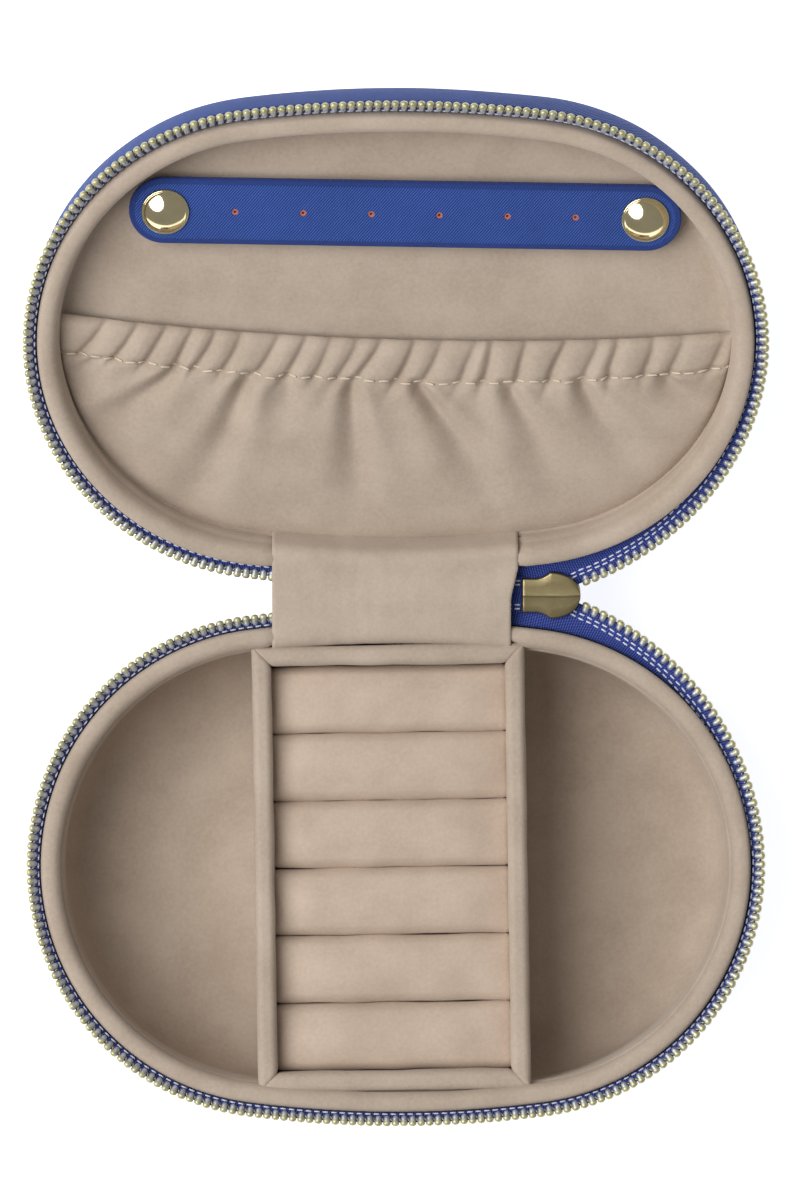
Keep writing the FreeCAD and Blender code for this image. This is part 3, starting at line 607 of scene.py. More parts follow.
def pressed_board(name, light, dark):
    """Pressed fibre board."""
    finish = Finish(name, 0.9, Specular_IOR_Level=0.2)
    fibres = finish.grain(0.6, 4.0, 0.8, (1, 3, 1))
    base = finish.ramp(fibres, (0.3, dark), (0.7, light))
    return finish.finish(base, ((fibres, 0.05),))


def backdrop_paper():
    """Pale paper, lit through from behind like a light table."""
    finish = Finish("backdrop_paper", 0.9, Specular_IOR_Level=0.1,
                    Emission_Color=(1.0, 1.0, 1.0, 1.0), Emission_Strength=0.8)
    base = finish.ramp(finish.grain(60.0, 2.0), (0.3, (0.93, 0.93, 0.93, 1)),
                       (0.7, (0.95, 0.95, 0.95, 1)))
    return finish.finish(base)


LINING = suede("lining_suede", colour(190, 174, 158), colour(174, 157, 141))
ROLL = suede("roll_suede", colour(203, 184, 166), colour(188, 168, 150))
HINGE_LINING = suede("hinge_strap_suede", colour(193, 177, 161), colour(178, 162, 146))
COVER_CLOTH = weave("cover_weave", colour(76, 108, 188), colour(28, 50, 120), 0.55)
STRAP_CLOTH = weave("earring_strap_twill", colour(74, 112, 196), colour(26, 50, 124), 0.5)
STRAP_EDGE = weave("earring_strap_edge", colour(58, 88, 168), colour(28, 48, 116), 0.3)
TAPE_CLOTH = tape_cloth()
COIL = coil_plastic()
POLISHED = gold("snap_gold", colour(236, 224, 182), colour(226, 212, 166), 0.09, 0.002)
SATIN = gold("slider_gold", colour(168, 154, 116), colour(152, 138, 100), 0.34, 0.01)
WHITE_THREAD = thread("white_thread", colour(240, 240, 248), colour(208, 210, 232))
CREAM_THREAD = thread("cream_thread", colour(226, 214, 192), colour(204, 190, 168))
BLUE_THREAD = thread("blue_thread", colour(44, 66, 148), colour(26, 42, 108))
BOARD = pressed_board("grey_board", colour(150, 146, 138), colour(126, 122, 114))
STIFFENER = pressed_board("brown_stiffener", colour(206, 128, 108), colour(170, 96, 80))
ELASTIC = thread("elastic_rubber", colour(200, 188, 172), colour(176, 164, 148))


# ---- shells: lining, cover, panel ----

def soften(outline, times=2):
    """Round the corners of closed outlines of (out, up) points, given per row."""
    for _ in range(times):
        following = np.roll(outline, -1, axis=-2)
        outline = np.stack([0.75 * outline + 0.25 * following,
                            0.25 * outline + 0.75 * following], -2)
        outline = outline.reshape(outline.shape[:-3] + (-1, 2))
    return outline


def ring_along(count):
    return np.linspace(0, AROUND, count, endpoint=False)


def uneven(along, wavelength, amount, seed):
    """A slow random change along the oval that closes on itself."""
    turn = along / AROUND * 2 * math.pi
    reach = AROUND / (2 * math.pi)
    places = np.stack([np.cos(turn) * reach, np.sin(turn) * reach, np.full_like(turn, seed)], -1)
    return random_push(places, wavelength, amount, seed)


def shell_ring(name, along, rows, side, axes, material):
    """A skin all round the oval, from a closed outline of (out, up) points for each along."""
    points = to_world(axes, around_shell(along, rows[..., 0], rows[..., 1], side))
    return skin(name, points, material, ring_along=True, ring_across=True)


def rim_lining(prefix, depth, side, axes):
    """Padded lining: a soft rim, pressed down where the hinge strap lies, and the wall below."""
    along = ring_along(360)
    wall_middle = (depth - 5.4 + FLOOR_TOP + 3.0) / 2
    crease = RIM_CREASES[prefix]
    outline = np.array([
        (-0.3, depth - 6.0), (0.0, depth - 4.4), (0.05, depth - 2.4), (-0.05, depth - 1.1),
        (-0.4, depth - 0.35), (-1.2, depth), (-2.3, depth), (-3.3, depth - 0.4),
        (-4.05, depth - 1.25), (-4.45, depth - 2.4), (crease - 4.55, depth - 3.3),
        (crease - 4.6, depth - 3.9), (-4.75, depth - 4.4), (-4.95, depth - 5.4),
        (-4.9, wall_middle),
        (-4.7, FLOOR_TOP + 3.0), (-4.3, FLOOR_TOP + 1.2), (-3.6, FLOOR_TOP - 0.9),
        (-3.0, FLOOR_TOP - 1.0), (-2.2, FLOOR_TOP + 1.0), (-2.2, depth - 6.0)])
    rows = np.repeat(outline[None], len(along), 0)
    fullness = uneven(along, 24.0, 0.16, 3) + uneven(along, 7.0, 0.06, 4)
    on_rim = np.clip((outline[:, 1] - depth + 6.0) / 4.0, 0, 1)
    rows[..., 0] -= fullness[:, None] * on_rim * (outline[:, 0] < -2)
    rows[..., 1] += uneven(along, 30.0, 0.14, 5)[:, None] * on_rim
    base, _ = oval(along)
    pressed = np.clip((PRESSED_HALF - np.abs(base[:, 0])) / 2.0, 0, 1) * (base[:, 1] > 0)
    rows[..., 1] -= 0.9 * pressed[:, None] * on_rim
    rows[..., 0] += 0.7 * pressed[:, None] * (outline[:, 0] < -4.0)
    rows = soften(rows)
    slack = uneven(along, 19.0, 0.22, 6)[:, None]
    middle = np.exp(-((rows[..., 1] - depth / 2) / (depth / 4)) ** 2)
    rows[..., 0] += slack * middle * (rows[..., 0] < -3.8)
    piece = shell_ring(f"{prefix}_lining_rim", along, rows, side, axes, LINING)
    return settle(piece, prefix, "lining_cloth", f"{prefix}_rim_lining")


def oval_sheet(growth, rows, columns):
    """A grid that fills the grown oval: x, y, and the share of the way out to its edge."""
    reach = HALF_LENGTH + growth
    x = -reach * np.cos(np.linspace(0.02, math.pi - 0.02, rows))
    half = oval_half_width(x, growth)
    share = np.sin(np.linspace(-math.pi / 2, math.pi / 2, columns))
    y = half[:, None] * share[None]
    x = np.repeat(x[:, None], columns, 1)
    edge = np.maximum(np.abs(share)[None], (np.abs(x) / reach) ** 2)
    return x, y, edge


def floor_lining(prefix, side, axes):
    """Thin padded floor whose edge curves up into the wall; the two long halves are tucked under
    each other along the middle line."""
    along = ring_along(360)
    wall_out = -4.55
    cove = FLOOR_COVES[prefix]
    turn = np.linspace(0, math.pi / 2, 9)
    rising = np.stack([wall_out - cove * (1 - np.cos(turn)),
                       FLOOR_TOP + cove * (1 - np.sin(turn))], -1)
    ones = np.ones((len(along), 1))
    curve = around_shell(along, rising[:, 0] * ones, rising[:, 1] * ones, side)
    edge = curve[:, -1:]
    middle = edge * np.array([0.45, 0.0, 1.0])
    share = np.linspace(0, 1, 16)[None, 1:, None]
    flat = edge + (middle - edge) * share
    across = np.sign(edge[..., 1:2])
    tucked = [np.concatenate([middle[..., :1], -reach * across, middle[..., 2:] - dip], -1)
              for reach, dip in ((0.6, 0.03), (1.2, 0.3))]
    under = flat[:, ::-1] - np.array([0, 0, 1.4])
    flat = np.concatenate([flat] + tucked, 1)
    back = np.array([(wall_out + 0.6, FLOOR_TOP - 1.4), (wall_out + 0.6, FLOOR_TOP + cove - 0.6)])
    behind = around_shell(along, back[:, 0] * ones, back[:, 1] * ones, side)
    top = np.concatenate([curve, flat], 1)
    top[..., 2] += random_push(top * np.array([1, 1, 0]), 26.0, 0.28, 11)
    points = to_world(axes, np.concatenate([top, under, behind], 1))
    piece = skin(f"{prefix}_lining_floor", points, LINING, ring_along=True, ring_across=True)
    return settle(piece, prefix, "lining_cloth", f"{prefix}_floor_lining")


def cover(prefix, depth, side, axes):
    """Outer cloth, from the rounded outside edge up to the folded seam at the zip."""
    along = ring_along(360)
    seam = depth - SEAM_DROP
    inset = COVER - PANEL_INSET
    outline = np.array([
        (inset, 0.25), (inset + 1.2, 0.0), (COVER - COVER_ROUND, 0.0), (COVER - 1.1, 0.75),
        (COVER - 0.2, 2.2), (COVER + 0.1, 4.2), (COVER + 0.3, seam * 0.5),
        (COVER + 0.15, seam - 2.4), (COVER - 0.05, seam - 1.4), (COVER + 0.05, seam - 0.7),
        (COVER - 0.2, seam - 0.1), (COVER - 0.8, seam + 0.05), (0.5, seam - 0.1),
        (0.1, seam - 0.6), (0.1, 5.0), (-2.2, 1.3), (inset, 1.3)])
    rows = soften(np.repeat(outline[None], len(along), 0))
    rows[..., 0] += uneven(along, 15.0, 0.12, 21)[:, None] * (rows[..., 0] > 0.4)
    piece = shell_ring(f"{prefix}_cover", along, rows, side, axes, COVER_CLOTH)
    settle(piece, prefix, "cover_cloth", f"{prefix}_wall_cover")
    ones = np.ones((len(along), 1))
    path = to_world(axes, around_shell(along, (COVER + 0.05) * ones, (seam - 1.35) * ones, side)[:, 0])
    seam_row = stitches(f"{prefix}_cover_stitches", path, 2.0, 1.4, 0.16, BLUE_THREAD)
    settle(seam_row, prefix, "cover_cloth")


def outer_panel(prefix, side, axes):
    """Cloth panel that closes the outside, with a piped edge."""
    inset = COVER - PANEL_INSET
    x, y, edge = oval_sheet(inset, 100, 48)
    low = 0.1 + 0.5 * edge ** 10
    outside = np.stack([x, y, low], -1)
    inside = np.stack([x, y, np.full_like(x, 1.15)], -1)
    points = np.concatenate([inside, outside[:, ::-1]], 1)
    piece = skin(f"{prefix}_outer_cloth", to_world(axes, points), COVER_CLOTH,
                 ring_across=True, capped=True)
    settle(piece, prefix, "cover_cloth", f"{prefix}_outer_panel")
    along = ring_along(240)
    turn = np.linspace(0, 2 * math.pi, 10, endpoint=False)
    cord = np.stack([inset + 0.65 * np.cos(turn), 0.65 + 0.65 * np.sin(turn)], -1)
    rows = np.repeat(cord[None], len(along), 0)
    piping = shell_ring(f"{prefix}_piping", along, rows, side, axes, COVER_CLOTH)
    settle(piping, prefix, "cover_cloth")


# ---- zip ----

def lying(along):
    """How far the zip has left the rim to lie flat towards the slider, from 0 to 1."""
    return np.clip((STRAIGHT_ZIP - along) / (STRAIGHT_ZIP - SLIDER_MOUTH), 0, 1.15)


def coil_place(along):
    """Where the coil's middle is, out from the oval and up from the rim's top."""
    flat = np.minimum(lying(along), 1)
    base, _ = oval(along)
    in_slider = np.clip((SLIDER_MOUTH - along) / 6.0, 0, 1)
    meshed = HINGE_LENGTH / 2 + COVER + HALF_WIDTH - base[:, 1] - 0.55
    open_out = COIL_OUT + 4.9 * flat ** 2.2
    out = np.where(along < STRAIGHT_ZIP, open_out + (meshed - open_out) * in_slider, open_out)
    return out, -0.9 - 2.9 * flat ** 0.8 + 0.35 * in_slider


def tape_path(along, count=14):
    """The tape's middle line from the seam to its edge at the coil, for each along."""
    flat = lying(along)[:, None]
    coil_out, coil_up = coil_place(along)
    seam = np.array([0.4, -SEAM_DROP - 0.2])
    edge = np.stack([coil_out + 0.3, coil_up - 0.55], -1)
    standing = np.array([0.4, -1.9])
    bend = (1 - np.minimum(flat, 1)) * standing + np.minimum(flat, 1) * (seam + edge) / 2
    t = np.linspace(0, 1, count)[None, :, None]
    return (1 - t) ** 2 * seam + 2 * t * (1 - t) * bend[:, None] + t ** 2 * edge[:, None]


def tape(name, first, last, depth, side, axes):
    along = np.linspace(first, last, max(12, round((last - first) / 1.2)))
    path = tape_path(along)
    outline = band(path, 0.5)
    outline[..., 1] += depth
    points = to_world(axes, around_shell(along, outline[..., 0], outline[..., 1], side))
    return skin(name, points, TAPE_CLOTH, ring_across=True, capped=True)


def tape_stitches(name, first, last, depth, side, axes, rows):
    """Rows of white thread. Each row has its distance down the tape from the tape's edge, and
    the face of the tape that it is seen on: 1 for the rim's side and -1 for the outside."""
    along = np.linspace(first, last, max(12, round((last - first) / 1.2)))
    path = tape_path(along, 40)
    steps = np.linalg.norm(np.diff(path, axis=1), axis=-1)
    from_edge = np.concatenate([np.cumsum(steps[:, ::-1], 1)[:, ::-1],
                                np.zeros((len(along), 1))], 1)
    every = np.arange(len(along))
    made = []
    for index, (distance, face) in enumerate(rows):
        nearest = np.clip(np.argmin(np.abs(from_edge - distance), 1), 1, None)
        spot = path[every, nearest]
        ahead = spot - path[every, nearest - 1]
        ahead /= np.linalg.norm(ahead, axis=1, keepdims=True)
        spot = spot + face * 0.28 * np.stack([-ahead[:, 1], ahead[:, 0]], 1)
        line = around_shell(along, spot[:, :1], spot[:, 1:] + depth, side)[:, 0]
        made.append(stitches(f"{name}_{index}", to_world(axes, line), ZIP_PITCH, 1.3, 0.21,
                             WHITE_THREAD))
    return join(name, made)


# one tooth of the coil, from its tip at the tape to its round head: out from the coil's middle,
# half its width along the zip, half its height, and how far its middle is above the coil's
TOOTH = ((-1.25, 0.14, 0.14, -0.10), (-1.05, 0.44, 0.34, -0.05), (-0.68, 0.68, 0.46, 0.0),
         (-0.28, 0.64, 0.46, 0.02), (0.08, 0.76, 0.60, 0.05), (0.46, 0.88, 0.70, 0.08),
         (0.84, 0.82, 0.66, 0.05), (1.10, 0.56, 0.46, 0.00), (1.24, 0.14, 0.14, -0.05))
# the wire between two teeth, under them: along, out, up
LOOP = np.array([(-0.95, -0.35, -0.50), (-0.45, -0.75, -0.60), (0.0, -0.10, -0.80),
                 (0.45, 0.55, -0.60)])


def teeth(name, middles, place):
    """Rounded teeth at the given places along the zip. place turns arrays of along, out and up
    into metres; the UVs run along the zip and out."""
    turn = np.linspace(0, 2 * math.pi, 10, endpoint=False)
    out, wide, high, lift = np.array(TOOTH).T
    along = middles[:, None, None] + wide[None, :, None] * np.cos(turn)
    up = np.broadcast_to(lift[None, :, None] + high[None, :, None] * np.sin(turn), along.shape)
    outs = np.broadcast_to(out[None, :, None], along.shape)
    vertices = place(along.ravel(), outs.ravel(), up.ravel())
    rings, sides = len(out), len(turn)
    faces = []
    for base in range(0, len(vertices), rings * sides):
        faces += ring_faces(base, rings, sides)
    mesh = mesh_of(name, vertices.tolist(), faces)
    layer = mesh.uv_layers.new(name="UVMap")
    corner = np.array([loop.vertex_index for loop in mesh.loops])
    uv = np.stack([along.ravel()[corner], outs.ravel()[corner]], 1)
    layer.data.foreach_set("uv", uv.astype(np.float32).ravel())
    return finish_mesh(name, mesh, COIL)


def wire_loops(name, middles, place, sideways):
    """The wire that joins the teeth from below."""
    path = middles[:, None, None] + LOOP[None] * np.array([1, 0, 0])
    path[..., 1:] = LOOP[None, :, 1:]
    path = path.reshape(-1, 3)
    return tube(name, place(path[:, 0], path[:, 1], path[:, 2]), np.full(len(path), 0.27 * MM),
                sideways(path[:, 0]), COIL, 6)


def coil(name, first, last, depth, side, axes):
    middles = SLIDER_MOUTH + ZIP_PITCH * (np.arange(int(AROUND / ZIP_PITCH)) + 0.5)
    middles = middles[(middles >= first) & (middles < last)]

    def place(along, outs, ups):
        out, up = coil_place(along)
        shell = around_shell(along, (out + outs)[:, None], (depth + up + ups)[:, None], side)
        return to_world(axes, shell[:, 0])

    def sideways(along):
        _, normal = oval(along)
        tangent = np.stack([normal[:, 1], -side * normal[:, 0], np.zeros(len(normal))], 1)
        return tangent @ np.array(axes.to_3x3().normalized()).T

    return join(name, [teeth(f"{name}_teeth", middles, place),
                       wire_loops(f"{name}_wire", middles, place, sideways)])


STITCH_ROWS = {"standing": ((1.8, 1), (1.9, -1), (2.7, -1)), "leaving": ((2.15, 1), (3.1, 1))}


def zip_halves(prefix, depth, side, axes):
    """The half of the zip that stands at a rim, and the part that bends over to the slider."""
    end = AROUND + ZIP_LEFT_END
    pieces = (("standing", STRAIGHT_ZIP, end), ("leaving", STRAP_RIGHT - 4.0, STRAIGHT_ZIP))
    start_point, _ = oval(np.array([STRAIGHT_ZIP - 8.0]))
    end_point, _ = oval(np.array([SLIDER_MOUTH + 4.0]))
    for part, first, last in pieces:
        coil_first = max(first, SLIDER_MOUTH)
        made = (tape(f"{prefix}_tape_{part}", first, last, depth, side, axes),
                tape_stitches(f"{prefix}_tape_stitches_{part}", max(first, SLIDER_MOUTH - 2), last,
                              depth, side, axes, STITCH_ROWS[part]),
                coil(f"{prefix}_coil_{part}", coil_first, last, depth, side, axes))
        for piece, slot in zip(made, ("zip_tape", "zip_tape", "zip_coil")):
            if part == "standing":
                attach(piece, prefix)
            else:
                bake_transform(piece)
        if part == "standing":
            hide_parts(f"{prefix}_zip_tape")
            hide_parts(f"{prefix}_zip_coil")


def meshed_place(mirror, along, outs, ups):
    """Places of teeth in the joined end; mirror is 1 for the tray's teeth and -1 for the lid's."""
    across = HINGE_LENGTH / 2 + mirror * (outs * 0.8 - 0.5)
    return to_world(HINGE, np.stack([along, across, ups - 0.95], 1))


def closed_end():
    """The joined end of the zip at the strap: both tapes, their stitching, and the meshed coil."""
    middle = HINGE_LENGTH / 2
    x = np.linspace(STRAP_RIGHT - 4.0, SLIDER_MOUTH - 1.0, 24)
    across = np.concatenate([np.linspace(-4.1, -0.12, 12), np.linspace(0.12, 4.1, 12)])
    sag = -0.25 * np.exp(-(across / 0.5) ** 2)
    path = np.stack([across + middle, 0.25 + sag], -1)
    outline = band(np.repeat(path[None], len(x), 0), 0.5)
    points = np.concatenate([np.repeat(x[:, None, None], outline.shape[1], 1), outline], -1)
    cloth = skin("closed_tape", to_world(HINGE, points), TAPE_CLOTH, ring_across=True, capped=True)
    settle(cloth, "hinge", "zip_tape", "zip_closed_end")
    rows = []
    for index, offset in enumerate((-3.2, -2.3, 2.3, 3.2)):
        ends = np.array([(STRAP_RIGHT - 3.0, middle + offset, 0.55),
                         (SLIDER_MOUTH - 1.0, middle + offset, 0.55)])
        rows.append(stitches(f"closed_stitches_{index}", to_world(HINGE, ends), ZIP_PITCH, 1.3,
                             0.21, WHITE_THREAD))
    settle(join("closed_tape_stitches", rows), "hinge", "zip_tape")
    halves = []
    for mirror in (1, -1):
        middles = STRAP_RIGHT - 3.5 + ZIP_PITCH * (np.arange(7) + (0.5 if mirror > 0 else 1.0))
        halves.append(teeth(f"closed_teeth_{len(halves)}", middles, partial(meshed_place, mirror)))
    settle(join("closed_coil", halves), "hinge", "zip_coil")


# ---- slider ----

SLIDER_LENGTH, SLIDER_HALF, TAIL_HALF = 13.2, 5.35, 3.9


def slider_half_width(share):
    """Half width of a slider plate at a share of its length: tail, flare and round nose."""
    flare = np.clip((share - 0.24) / 0.25, 0, 1)
    neck = TAIL_HALF + (SLIDER_HALF - TAIL_HALF) * flare ** 1.8
    nose = SLIDER_HALF * np.sqrt(np.clip(1 - (np.clip(share - 0.49, 0, 1) / 0.51) ** 2, 0, 1))
    return np.where(share < 0.49, neck, nose)


def slider_plate(name, level, outward):
    """A plate with a low ridge along its middle and rounded edges."""
    share = np.concatenate([[0.0, 0.006, 0.02], np.linspace(0.05, 0.95, 46),
                            0.95 + 0.05 * np.sin(np.linspace(0.15, math.pi / 2 - 0.01, 10))])
    inset = np.where(share < 0.02, 0.25 - 12 * share, 0.0)
    half = slider_half_width(share) - np.maximum(inset, 0)
    edge = np.array([(1.0, 0.0), (1.0, 0.35), (0.985, 0.66), (0.95, 0.86), (0.90, 0.93),
                     (0.5, 0.95), (0.1, 0.955), (0.06, 0.98), (0.03, 1.06), (0.0, 1.12)])
    width = np.concatenate([edge[:, 0], -edge[-2::-1, 0]])
    height = np.concatenate([edge[:, 1], edge[-2::-1, 1]])
    x = (share - 0.5) * SLIDER_LENGTH
    low_ends = np.clip(np.minimum(share / 0.015, (1 - share) / 0.004), 0.35, 1)
    points = np.stack([np.repeat(x[:, None], len(width), 1), half[:, None] * width,
                       level + outward * height[None] * low_ends[:, None]], -1)
    return skin(name, to_world(SLIDER, points), SATIN, ring_across=True, capped=True)


def zip_slider():
    """Two ridged plates, the post between them, side guides and the lug for the puller."""
    parts = [slider_plate("slider_inner_plate", 0.85, 1),
             slider_plate("slider_outer_plate", -2.35, -1)]
    parts.append(padded_block("slider_post", (1.1, 0.8, 1.75), (3.9, 0, -0.75), 0.3, 0, 0, 1,
                              SLIDER, SATIN, 0.8))
    for index, where in enumerate((-1, 1)):
        parts.append(padded_block(f"slider_guide_{index}", (2.6, 0.4, 0.85),
                                  (-0.2, where * (SLIDER_HALF - 0.75), -1.75), 0.25, 0, 0, 1,
                                  SLIDER, SATIN, 0.8))
    parts.append(lug())
    settle(join("slider", parts), "slider", "zip_metal", "zip_slider")


def lug():
    """The ear under the outer plate, with an eye for the puller's pin."""
    pivot = SLIDER.inverted() @ Vector(joints["puller_swing"]["pos_m"])
    stand = SLIDER @ Matrix.Translation((0, 0, pivot.z)) @ Matrix.Rotation(math.pi / 2, 4, "X")
    outline = [(-1.6, 1.6), (-1.6, -0.7), (-1.0, -1.25), (1.0, -1.25), (1.6, -0.7), (1.6, 1.6)]
    return plate("slider_lug", [np.array(outline), circle(0, 0, 0.9)], -0.6, 0.6, 0.12, stand, SATIN)


# ---- hinge ----

def hinge_half(name, path, left, right, thickness, material, wrinkle, seed, mirror):
    """Cloth across half of the hinge. path runs from the rim to the middle in the hinge's own
    (along Y, up); mirror swaps the tray's half for the lid's."""
    x = np.linspace(0, 1, 70)
    outline = band(np.repeat(path[None], len(x), 0), thickness)
    near = np.clip(1 - (outline[..., 0] + 1.0) / (HINGE_LENGTH / 2 + 1.0), 0, 1)
    places = left + (right - left) * x
    rim_curve = oval_half_width(places, 0) - HALF_WIDTH
    outline[..., 0] += rim_curve[:, None] * near
    spread = np.repeat(places[:, None], outline.shape[1], 1)
    spread = spread - 1.6 * (1 - near * mirror) * np.clip(spread / right, 0, 1) ** 3
    from_middle = np.abs(outline[..., 0] - HINGE_LENGTH / 2)
    flat = np.stack([spread / 2.6, from_middle ** 2 / 70.0, np.full_like(spread, seed)], -1)
    push = random_push(flat, 1.0, wrinkle, seed)
    lift = push * (0.4 + 0.6 * np.exp(-((spread + 12) / 9) ** 2))
    along = HINGE_LENGTH - outline[..., 0] if mirror else outline[..., 0]
    points = np.stack([spread, along, outline[..., 1] + lift], -1)
    return skin(name, to_world(HINGE, points), material, ring_across=True, capped=True)


def smooth_path(points, count):
    """A round path through a few points."""
    points = np.array(points, float)
    for _ in range(3):
        inner = np.stack([0.75 * points[:-1] + 0.25 * points[1:],
                          0.25 * points[:-1] + 0.75 * points[1:]], 1).reshape(-1, 2)
        points = np.concatenate([points[:1], inner, points[-1:]])
    steps = np.concatenate([[0], np.cumsum(np.linalg.norm(np.diff(points, axis=0), axis=1))])
    stops = np.linspace(0, steps[-1], count)
    return np.stack([np.interp(stops, steps, points[:, axis]) for axis in (0, 1)], 1)


def hinge():
    """Inner strap over both rims and outer cloth between the seams, each in two halves; the ends
    of the strap's halves are tucked under each other in the middle of the hinge."""
    middle = HINGE_LENGTH / 2
    over_rim = smooth_path([(-7.9, -5.8), (-7.25, -2.5), (-6.6, 0.4), (-6.0, 2.7), (-4.7, 3.9),
                            (-2.8, 3.85), (-0.9, 3.55), (1.2, 3.6), (middle - 1.2, 3.85),
                            (middle + 0.4, 3.85), (middle + 1.2, 3.4)], 52)
    outside = smooth_path([(-0.5, -0.1), (1.2, -0.35), (middle - 0.8, -0.3),
                           (middle + 0.2, -0.3)], 14)
    for prefix, mirror in (("tray", 0), ("lid", 1)):
        ends = [(0, -2.0, 0), (0, middle - 0.4, 0)]
        if mirror:
            ends = [(0, HINGE_LENGTH - y, 0) for _, y, _ in ends]
        strap = hinge_half(f"{prefix}_hinge_strap", over_rim, STRAP_LEFT, STRAP_RIGHT, 0.5,
                           HINGE_LINING, 0.22, 31, mirror)
        cloth = hinge_half(f"{prefix}_hinge_cloth", outside, -27.6, 27.0, 0.9, COVER_CLOTH, 0.08,
                           37, mirror)
        for piece, slot, node in ((strap, "lining_cloth", "hinge_strap"),
                                  (cloth, "cover_cloth", "hinge_cloth")):
            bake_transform(piece)
            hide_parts(node)


# ---- ring box ----

def box_wall(name, half, middle, wrinkle, seed, mitre):
    piece = padded_block(f"box_{name}_wall", half, middle, 1.7, 0.2, wrinkle, seed, BOX, LINING,
                         mitre=mitre)
    settle(piece, "tray", "lining_cloth", f"ring_box_{name}_wall")


def ring_box():
    """Four padded walls with mitred corners, round a base with six foam rolls."""
    wall = 2.2
    overlap = 0.7
    base_top = box_mm("ring_roll_base")[1].z
    inner_x, inner_y = 26.1, 45.4
    top = box_mm("ring_box_left_wall")[1].z
    half_z = (top - FLOOR_TOP) / 2
    middle_z = (top + FLOOR_TOP) / 2
    for name, side, seed in (("left", -1, 41), ("right", 1, 42)):
        box_wall(name, (wall, inner_y + wall + overlap, half_z), (side * (inner_x + wall), 0, middle_z),
                 0.2, seed, (1, 0, side))
    for name, side, seed in (("rear", 1, 43), ("front", -1, 44)):
        box_wall(name, (inner_x + wall + overlap, wall, half_z - 0.1),
                 (0, side * (inner_y + wall), middle_z - 0.1), 0.25, seed, (0, 1, side))
    base = padded_block("box_base", (inner_x, inner_y, (base_top - FLOOR_TOP) / 2),
                        (0, 0, (base_top + FLOOR_TOP) / 2), 1.5, 0, 0.1, 45, BOX, ROLL, 4.0)
    settle(base, "tray", "roll_cloth", "ring_roll_base")
    for index in range(1, 7):
        ring_roll(index, base_top, inner_x)


def ring_roll(index, low, inner_x):
    node = f"ring_roll_{index}"
    pitch, crown = 15.1, 2.6
    top = box_mm(node)[1].z
    middle = (3.5 - index) * pitch
    half = (inner_x + 1.4, pitch / 2 - 0.02, (top - crown - low) / 2)
    piece = padded_block(f"roll_{index}", half, (0, middle, low + half[2]), 2.3, crown, 0.3,
                         50 + index, BOX, ROLL, 1.1)
    settle(piece, "tray", "roll_cloth", node)


# ---- pocket in the lid ----

POCKET_TOP = 9.4
HEM = 9.4
# the deep folds below the stitches: x at the stitches, x and length down at their end, depth
FOLDS = ((-66.0, -73.0, 10.0, 1.0), (-49.0, -63.0, 17.0, 1.6), (-32.2, -45.0, 31.0, 2.0),
         (-24.4, -25.5, 12.0, 1.2), (-10.8, -7.0, 34.0, 1.9), (5.2, 21.0, 28.0, 2.1),
         (24.6, 35.0, 26.0, 1.7), (40.5, 53.0, 22.0, 1.9), (57.6, 67.0, 9.0, 1.3))


def pocket_edge(x):
    """The pocket's open edge in the lid, a shallow bow."""
    return -1.9 + (x - 22.0) ** 2 / 1430


def ruffle_lines():
    """Where the gathers of the hem cross its stitches, how far they lean, and their depth."""
    chance = np.random.default_rng(14)
    places, leans, depths = [], [], []
    x = -70.0
    while x < 70.0:
        places.append(x)
        leans.append(0.42 - 0.12 * x / 70.0 + chance.uniform(-0.16, 0.16))
        depths.append(chance.uniform(0.6, 1.15) * (1.0 if x < 50 else 0.6))
        x += chance.uniform(4.6, 8.6)
    return np.array(places), np.array(leans), np.array(depths)


